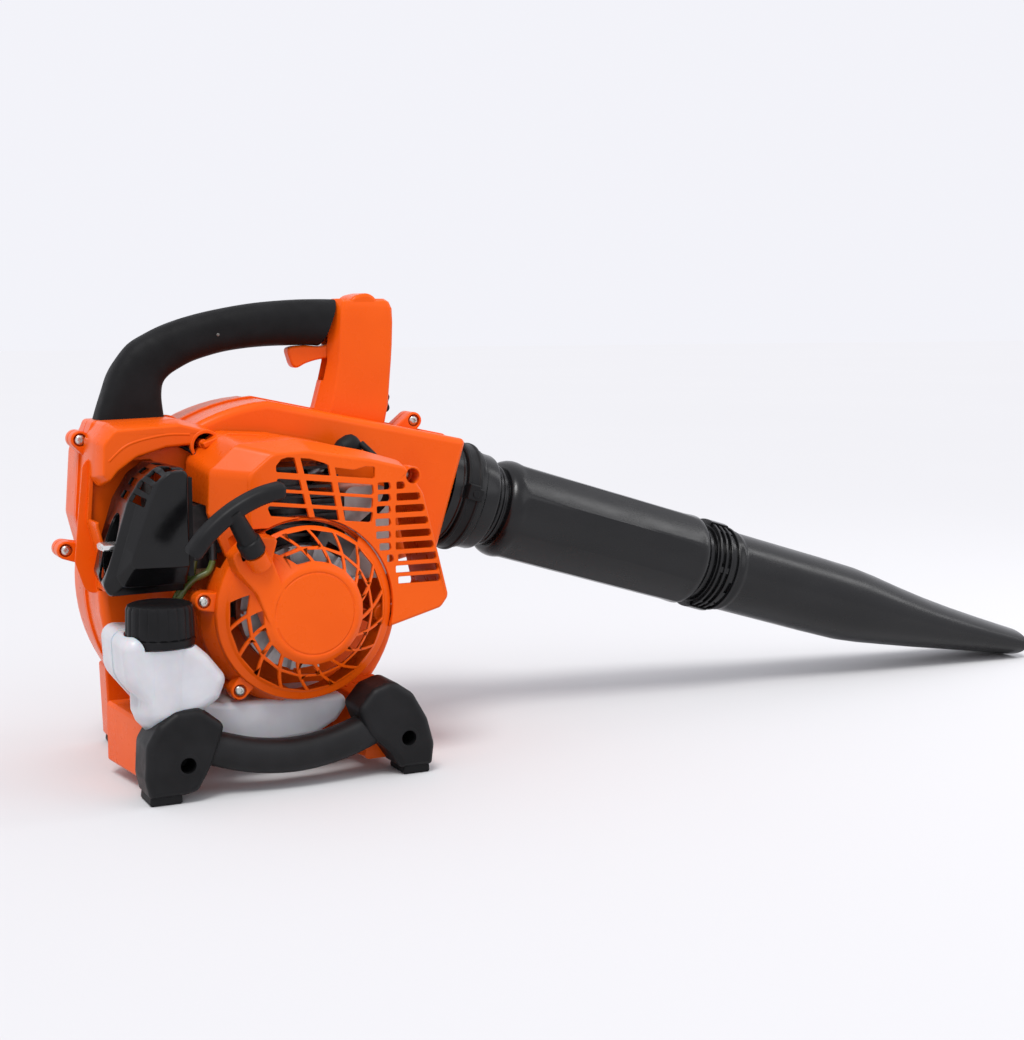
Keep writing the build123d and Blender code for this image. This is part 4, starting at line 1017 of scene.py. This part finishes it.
def tubes():
    outer = round_rings([(-8, 42.6), (-1, 42.6), (0, 43.4), (3, 43.4), (4, 42.6), (17, 42.4), (18, 43),
                         (21, 43),
                         (22, 42.2)])
    adapter = hollow_tube(outer, round_rings([(-8, 36), (22, 36)]))
    piece("adapter_ring", adapter, "tube_black", "root", ["tube_adapter"])
    outer = round_rings([(2, 45.0), (2.6, 46.2), (5, 46.4), (5.8, 45.4), (12.4, 45.4), (13.2, 46.4),
                         (15.4, 46.2),
                         (16, 45.0)])
    band = hollow_tube(outer, round_rings([(2, 43.5), (16, 43.5)]))
    lug = rounded([(-7, -6.5), (7, -6.5), (7, 4), (3, 4), (3, 6.5), (-7, 6.5)], 1, 3)
    lug = moved(slab(lug, -50.4, -40, 1.5), tube_matrix(9, 6))
    bolt = moved(rod((0, -51.2, 0), (0, -48, 0), 3.1, 24), tube_matrix(9, 5))
    piece("clamp_band", join(band, lug, bolt), "black_plastic", "root", ["tube_clamp"], bevel=0.3)
    outer = round_rings([(22.3, 40.2), (23, 41), (26, 41.2), (30, 40.9), (34, 40.9), (36, 40.2), (38, 38.2),
                         (39.6, 35.4), (40.6, 34.1), (42.7, 34.0), (43.5, 34.9), (44.8, 34.9), (45.6, 34.0),
                         (74, 34)])
    neck = hollow_tube(outer, round_rings([(22.3, 33), (74, 31.8)]))
    piece("neck_section", neck, "tube_black", "root", ["neck_tube"])
    outer = round_rings([(48, 34.2), (48.2, 36.6), (49.2, 38.2), (51.4, 39.9), (54.5, 41.2), (58, 41.9),
                         (61, 42.2, 0.1), (66, 42.4, 0.55), (120, 42.4, 0.6), (180, 42.3, 0.6),
                         (240, 42.0, 0.55),
                         (247, 41.8, 0.3), (250.5, 41.2, 0.1), (253.6, 39.7), (256, 37.6), (257.4, 35.9),
                         (258.4, 35.2), (262, 35.0), (262.8, 34), (290, 34)])
    inner = round_rings([(48, 34.05), (66, 34.05), (66.5, 38.0), (248, 37.6), (257, 32), (290, 31.8)])
    piece("main_tube_body", hollow_tube(outer, inner), "tube_black", "tube", ["main_tube"], angle=28)


def tube_matrix(s, lift=0.0):
    """Carries a shape made at the origin, X along the air stream, to a place on the tube."""
    up = Vector((-AXIS.z, 0, AXIS.x))
    return Matrix.Translation(on_tube(s) + up * lift) @ Matrix.Rotation(TILT, 4, "Y")


def arc_patch(s, width, r0, r1, a0, a1):
    """A solid patch round the tube between two angles: 180 faces the engine side, 90 is up."""
    up = Vector((-AXIS.z, 0, AXIS.x))
    s0, s1, n = s - width / 2, s + width / 2, max(3, int(abs(a1 - a0) / 4))
    section = ((s0, r0), (s0, r1 - 0.5), (s0 + 0.5, r1), (s1 - 0.5, r1), (s1, r1 - 0.5), (s1, r0))
    rings = []
    for k in range(n + 1):
        a = radians(a0 + (a1 - a0) * k / n)
        out = Vector(ACROSS) * cos(a) + up * sin(a)
        rings.append([on_tube(along) + out * r for along, r in section])
    if a1 - a0 >= 360:
        return skin(rings[:-1] + [rings[0]], caps=False)
    return skin(rings)


def nozzle():
    """A collar with ridges, bars, tabs and slots, then a body that flattens towards its mouth."""
    outer = round_rings([(264, 35.6), (264.4, 36.8), (266, 37.2), (289, 37.2), (290.4, 36.6), (292, 36.6),
                         (294, 37.4), (296, 37.5), (298, 36.7), (300, 36.5)])
    stations = [(330, 36.4, 36.4, 0), (400, 36.4, 36.2, 0), (440, 36.4, 35.6, 0), (465, 36.2, 33.4, 0.2),
                (495, 36.0, 29.6, 0.5), (530, 35.8, 25.4, 1.2), (570, 35.5, 21.0, 3.0),
                (610, 35.2, 17.2, 5.2),
                (640, 35.0, 14.4, 7.1), (650.6, 34.9, 13.6, 7.7), (652, 34.4, 13.1, 7.75)]
    outer += [tube_ring(*station) for station in stations]
    wall = 2.2
    inner = round_rings([(264, 34.1), (292, 34.1), (296, 34.2)])
    inner += [tube_ring(s, w - wall, h - wall, lift) for s, w, h, lift in stations[:-1]]
    inner.append(tube_ring(652, 33.2, 11.9, 7.75))
    slots = [arc_patch(s, width, 35.4, 41, a0, a1)
             for s, width, a0, a1 in ((284, 3.2, 196, 213), (270, 2.6, 172, 186), (276, 2.6, 130, 150))]
    half_bar = degrees(2.5 / 37)
    parts = [cut(hollow_tube(outer, inner), *slots)]
    parts += [arc_patch(s, 2.2, 36, 40.0, 30, 330) for s in (267, 273, 279)]
    parts += [arc_patch(275, 18, 36, 38.5, a - half_bar, a + half_bar) for a in (55, 118, 181, 240, 300)]
    parts.append(arc_patch(288, 2.6, 36, 39.4, 0, 360))
    parts += [arc_patch(274, 19, 36, 41.2, a - 16, a + 16) for a in (90, 270)]
    piece("nozzle_body", join(*parts), "tube_black", "nozzle", ["nozzle"], angle=32)


# ---- fasteners and small parts ----
def screws():
    """Pan heads with a six-lobed recess, all from one shape."""
    head = lathe([(0, 0.3), (0.1, 2.2), (0.6, 3.4), (1.5, 4.1), (2.4, 4.25), (3.3, 4.2)], (0, 0, 0),
                 (0, 1, 0), 40)
    star = [polar(360 * k / 48, 1.75 + 0.35 * cos(6 * 2 * pi * k / 48), 0, 0) for k in range(48)]
    head = join(cut(head, slab(star, -1, 1.9, 0)), rod((0, 3.2, 0), (0, 12, 0), 2.0, 16))
    places = [(x, -17.3, z) for x, z in EARS] + [(x, -124.6, z) for x, z in RECOIL_POSTS]
    places += [(x, y, z) for (x, z), y in ((COVER_SCREW, -117), (HOOD_SCREW, -55.5))]
    heads = [moved(head, Matrix.Translation(p)) for p in places]
    piece("screw_set", join(*heads), "zinc", "root", ["case_screws"])


def plug_point(s):
    return Vector((17 + s * sin(radians(60)), -76, 219 + s * cos(radians(60))))


def plug_boot():
    axis = plug_point(1) - plug_point(0)
    body = lathe([(0, 8.4), (1, 9.2), (4, 9.2), (5, 8.2), (12, 7.6), (18, 7.8), (20, 8.8), (22, 9.4),
                  (29, 9.3), (33, 7.6), (35, 4.6), (35.6, 0.5)],
                 plug_point(18), axis, 32)
    piece("plug_boot_body", body, "black_rubber", "root", ["spark_plug_boot"], angle=50)


# the cylinder, crankcase and carburettor take the cast metal darkened as painted shade
NODE_FINISH = {
    "cast_aluminium": ["flywheel"], "cast_painted_shade": ["cylinder", "crankcase", "carburettor"],
               "lever_metal": ["throttle_lever"],
    "black_plastic": ["fan_impeller", "intake_insulator", "air_filter_base", "starter_reel"],
               "muffler_steel": ["muffler"],
    "clear_rubber": ["primer_bulb"], "filter_foam": ["air_filter_element"], "coil_steel": ["ignition_coil"],
    "black_rubber": ["ignition_lead", "throttle_cable", "cap_seal"], "rope": ["rope_winding"]}


def finish_nodes():
    """Every CAD node gets its finish, and those that aren't named are steel."""
    finish_of = {node: finish for finish, nodes in NODE_FINISH.items() for node in nodes}
    for name, obj in frame["nodes"].items():
        obj.data.materials.clear()
        obj.data.materials.append(MATERIALS[finish_of.get(name, "steel")])


# ---- floor, light, camera ----
def stage():
    """A plain floor, far wider than the view."""
    bm = bmesh.new()
    bmesh.ops.create_grid(bm, x_segments=1, y_segments=1, size=14000)
    floor = as_object(bm, "floor")
    floor.data.transform(Matrix.Translation(ORIGIN) @ Matrix.Scale(0.001, 4))
    floor.data.materials.append(MATERIALS["floor"])


def area_light(name, position, target, size, power, colour=(1, 1, 1)):
    data = bpy.data.lights.new(name, "AREA")
    data.shape, data.size, data.size_y = "RECTANGLE", size[0], size[1]
    data.energy, data.color = power, colour
    light = bpy.data.objects.new(name, data)
    light.location = place(*position)
    light.rotation_euler = (place(*target) - light.location).to_track_quat("-Z", "Y").to_euler()
    bpy.context.scene.collection.objects.link(light)


def lights():
    world = bpy.data.worlds.new("studio")
    bpy.context.scene.world = world
    world.use_nodes = True
    world.node_tree.nodes["Background"].inputs["Color"].default_value = (0.896, 0.898, 0.95, 1)
    world.node_tree.nodes["Background"].inputs["Strength"].default_value = 1.0
    sun = bpy.data.lights.new("key", "SUN")
    sun.energy, sun.angle, sun.color = 1.75, radians(20), (1, 0.995, 0.98)
    key = bpy.data.objects.new("key", sun)
    key.rotation_euler = Vector((-0.45, -0.55, 1.3)).to_track_quat("Z", "Y").to_euler()
    bpy.context.scene.collection.objects.link(key)
    area_light("side", (900, -1000, 900), (150, -50, 150), (0.7, 0.7), 1.5, (0.97, 0.98, 1))
    area_light("strip", (1300, -175, 900), (400, 0, 130), (0.2, 0.9), 2.0)


def camera():
    """Stands by the engine side, turned 26.5 degrees off the crank axis and tipped 7 degrees down."""
    a, e = radians(-26.5), radians(7)
    back = Vector((sin(a) * cos(e), -cos(a) * cos(e), sin(e)))
    data = bpy.data.cameras.new("camera")
    data.sensor_width, data.lens, data.clip_end = 36, 1700 * 36 / 1040, 100
    cam = bpy.data.objects.new("camera", data)
    cam.location = place(-415.1, -1301.0, 344.9)
    cam.rotation_euler = back.to_track_quat("Z", "Y").to_euler()
    bpy.context.scene.collection.objects.link(cam)
    bpy.context.scene.camera = cam
    bpy.context.scene.view_settings.view_transform = "Standard"


finish_nodes()
for build in (case_engine_half, case_intake_half, inlet_grille, grip, handle_shells, small_controls,
              engine_cover,
              recoil_housing, pull_handle, starter_rope, filter_cover, fuel_tank, hoses, boots, front_bar,
              foot_pads,
              tubes, nozzle, screws, plug_boot, stage, lights, camera):
    build()
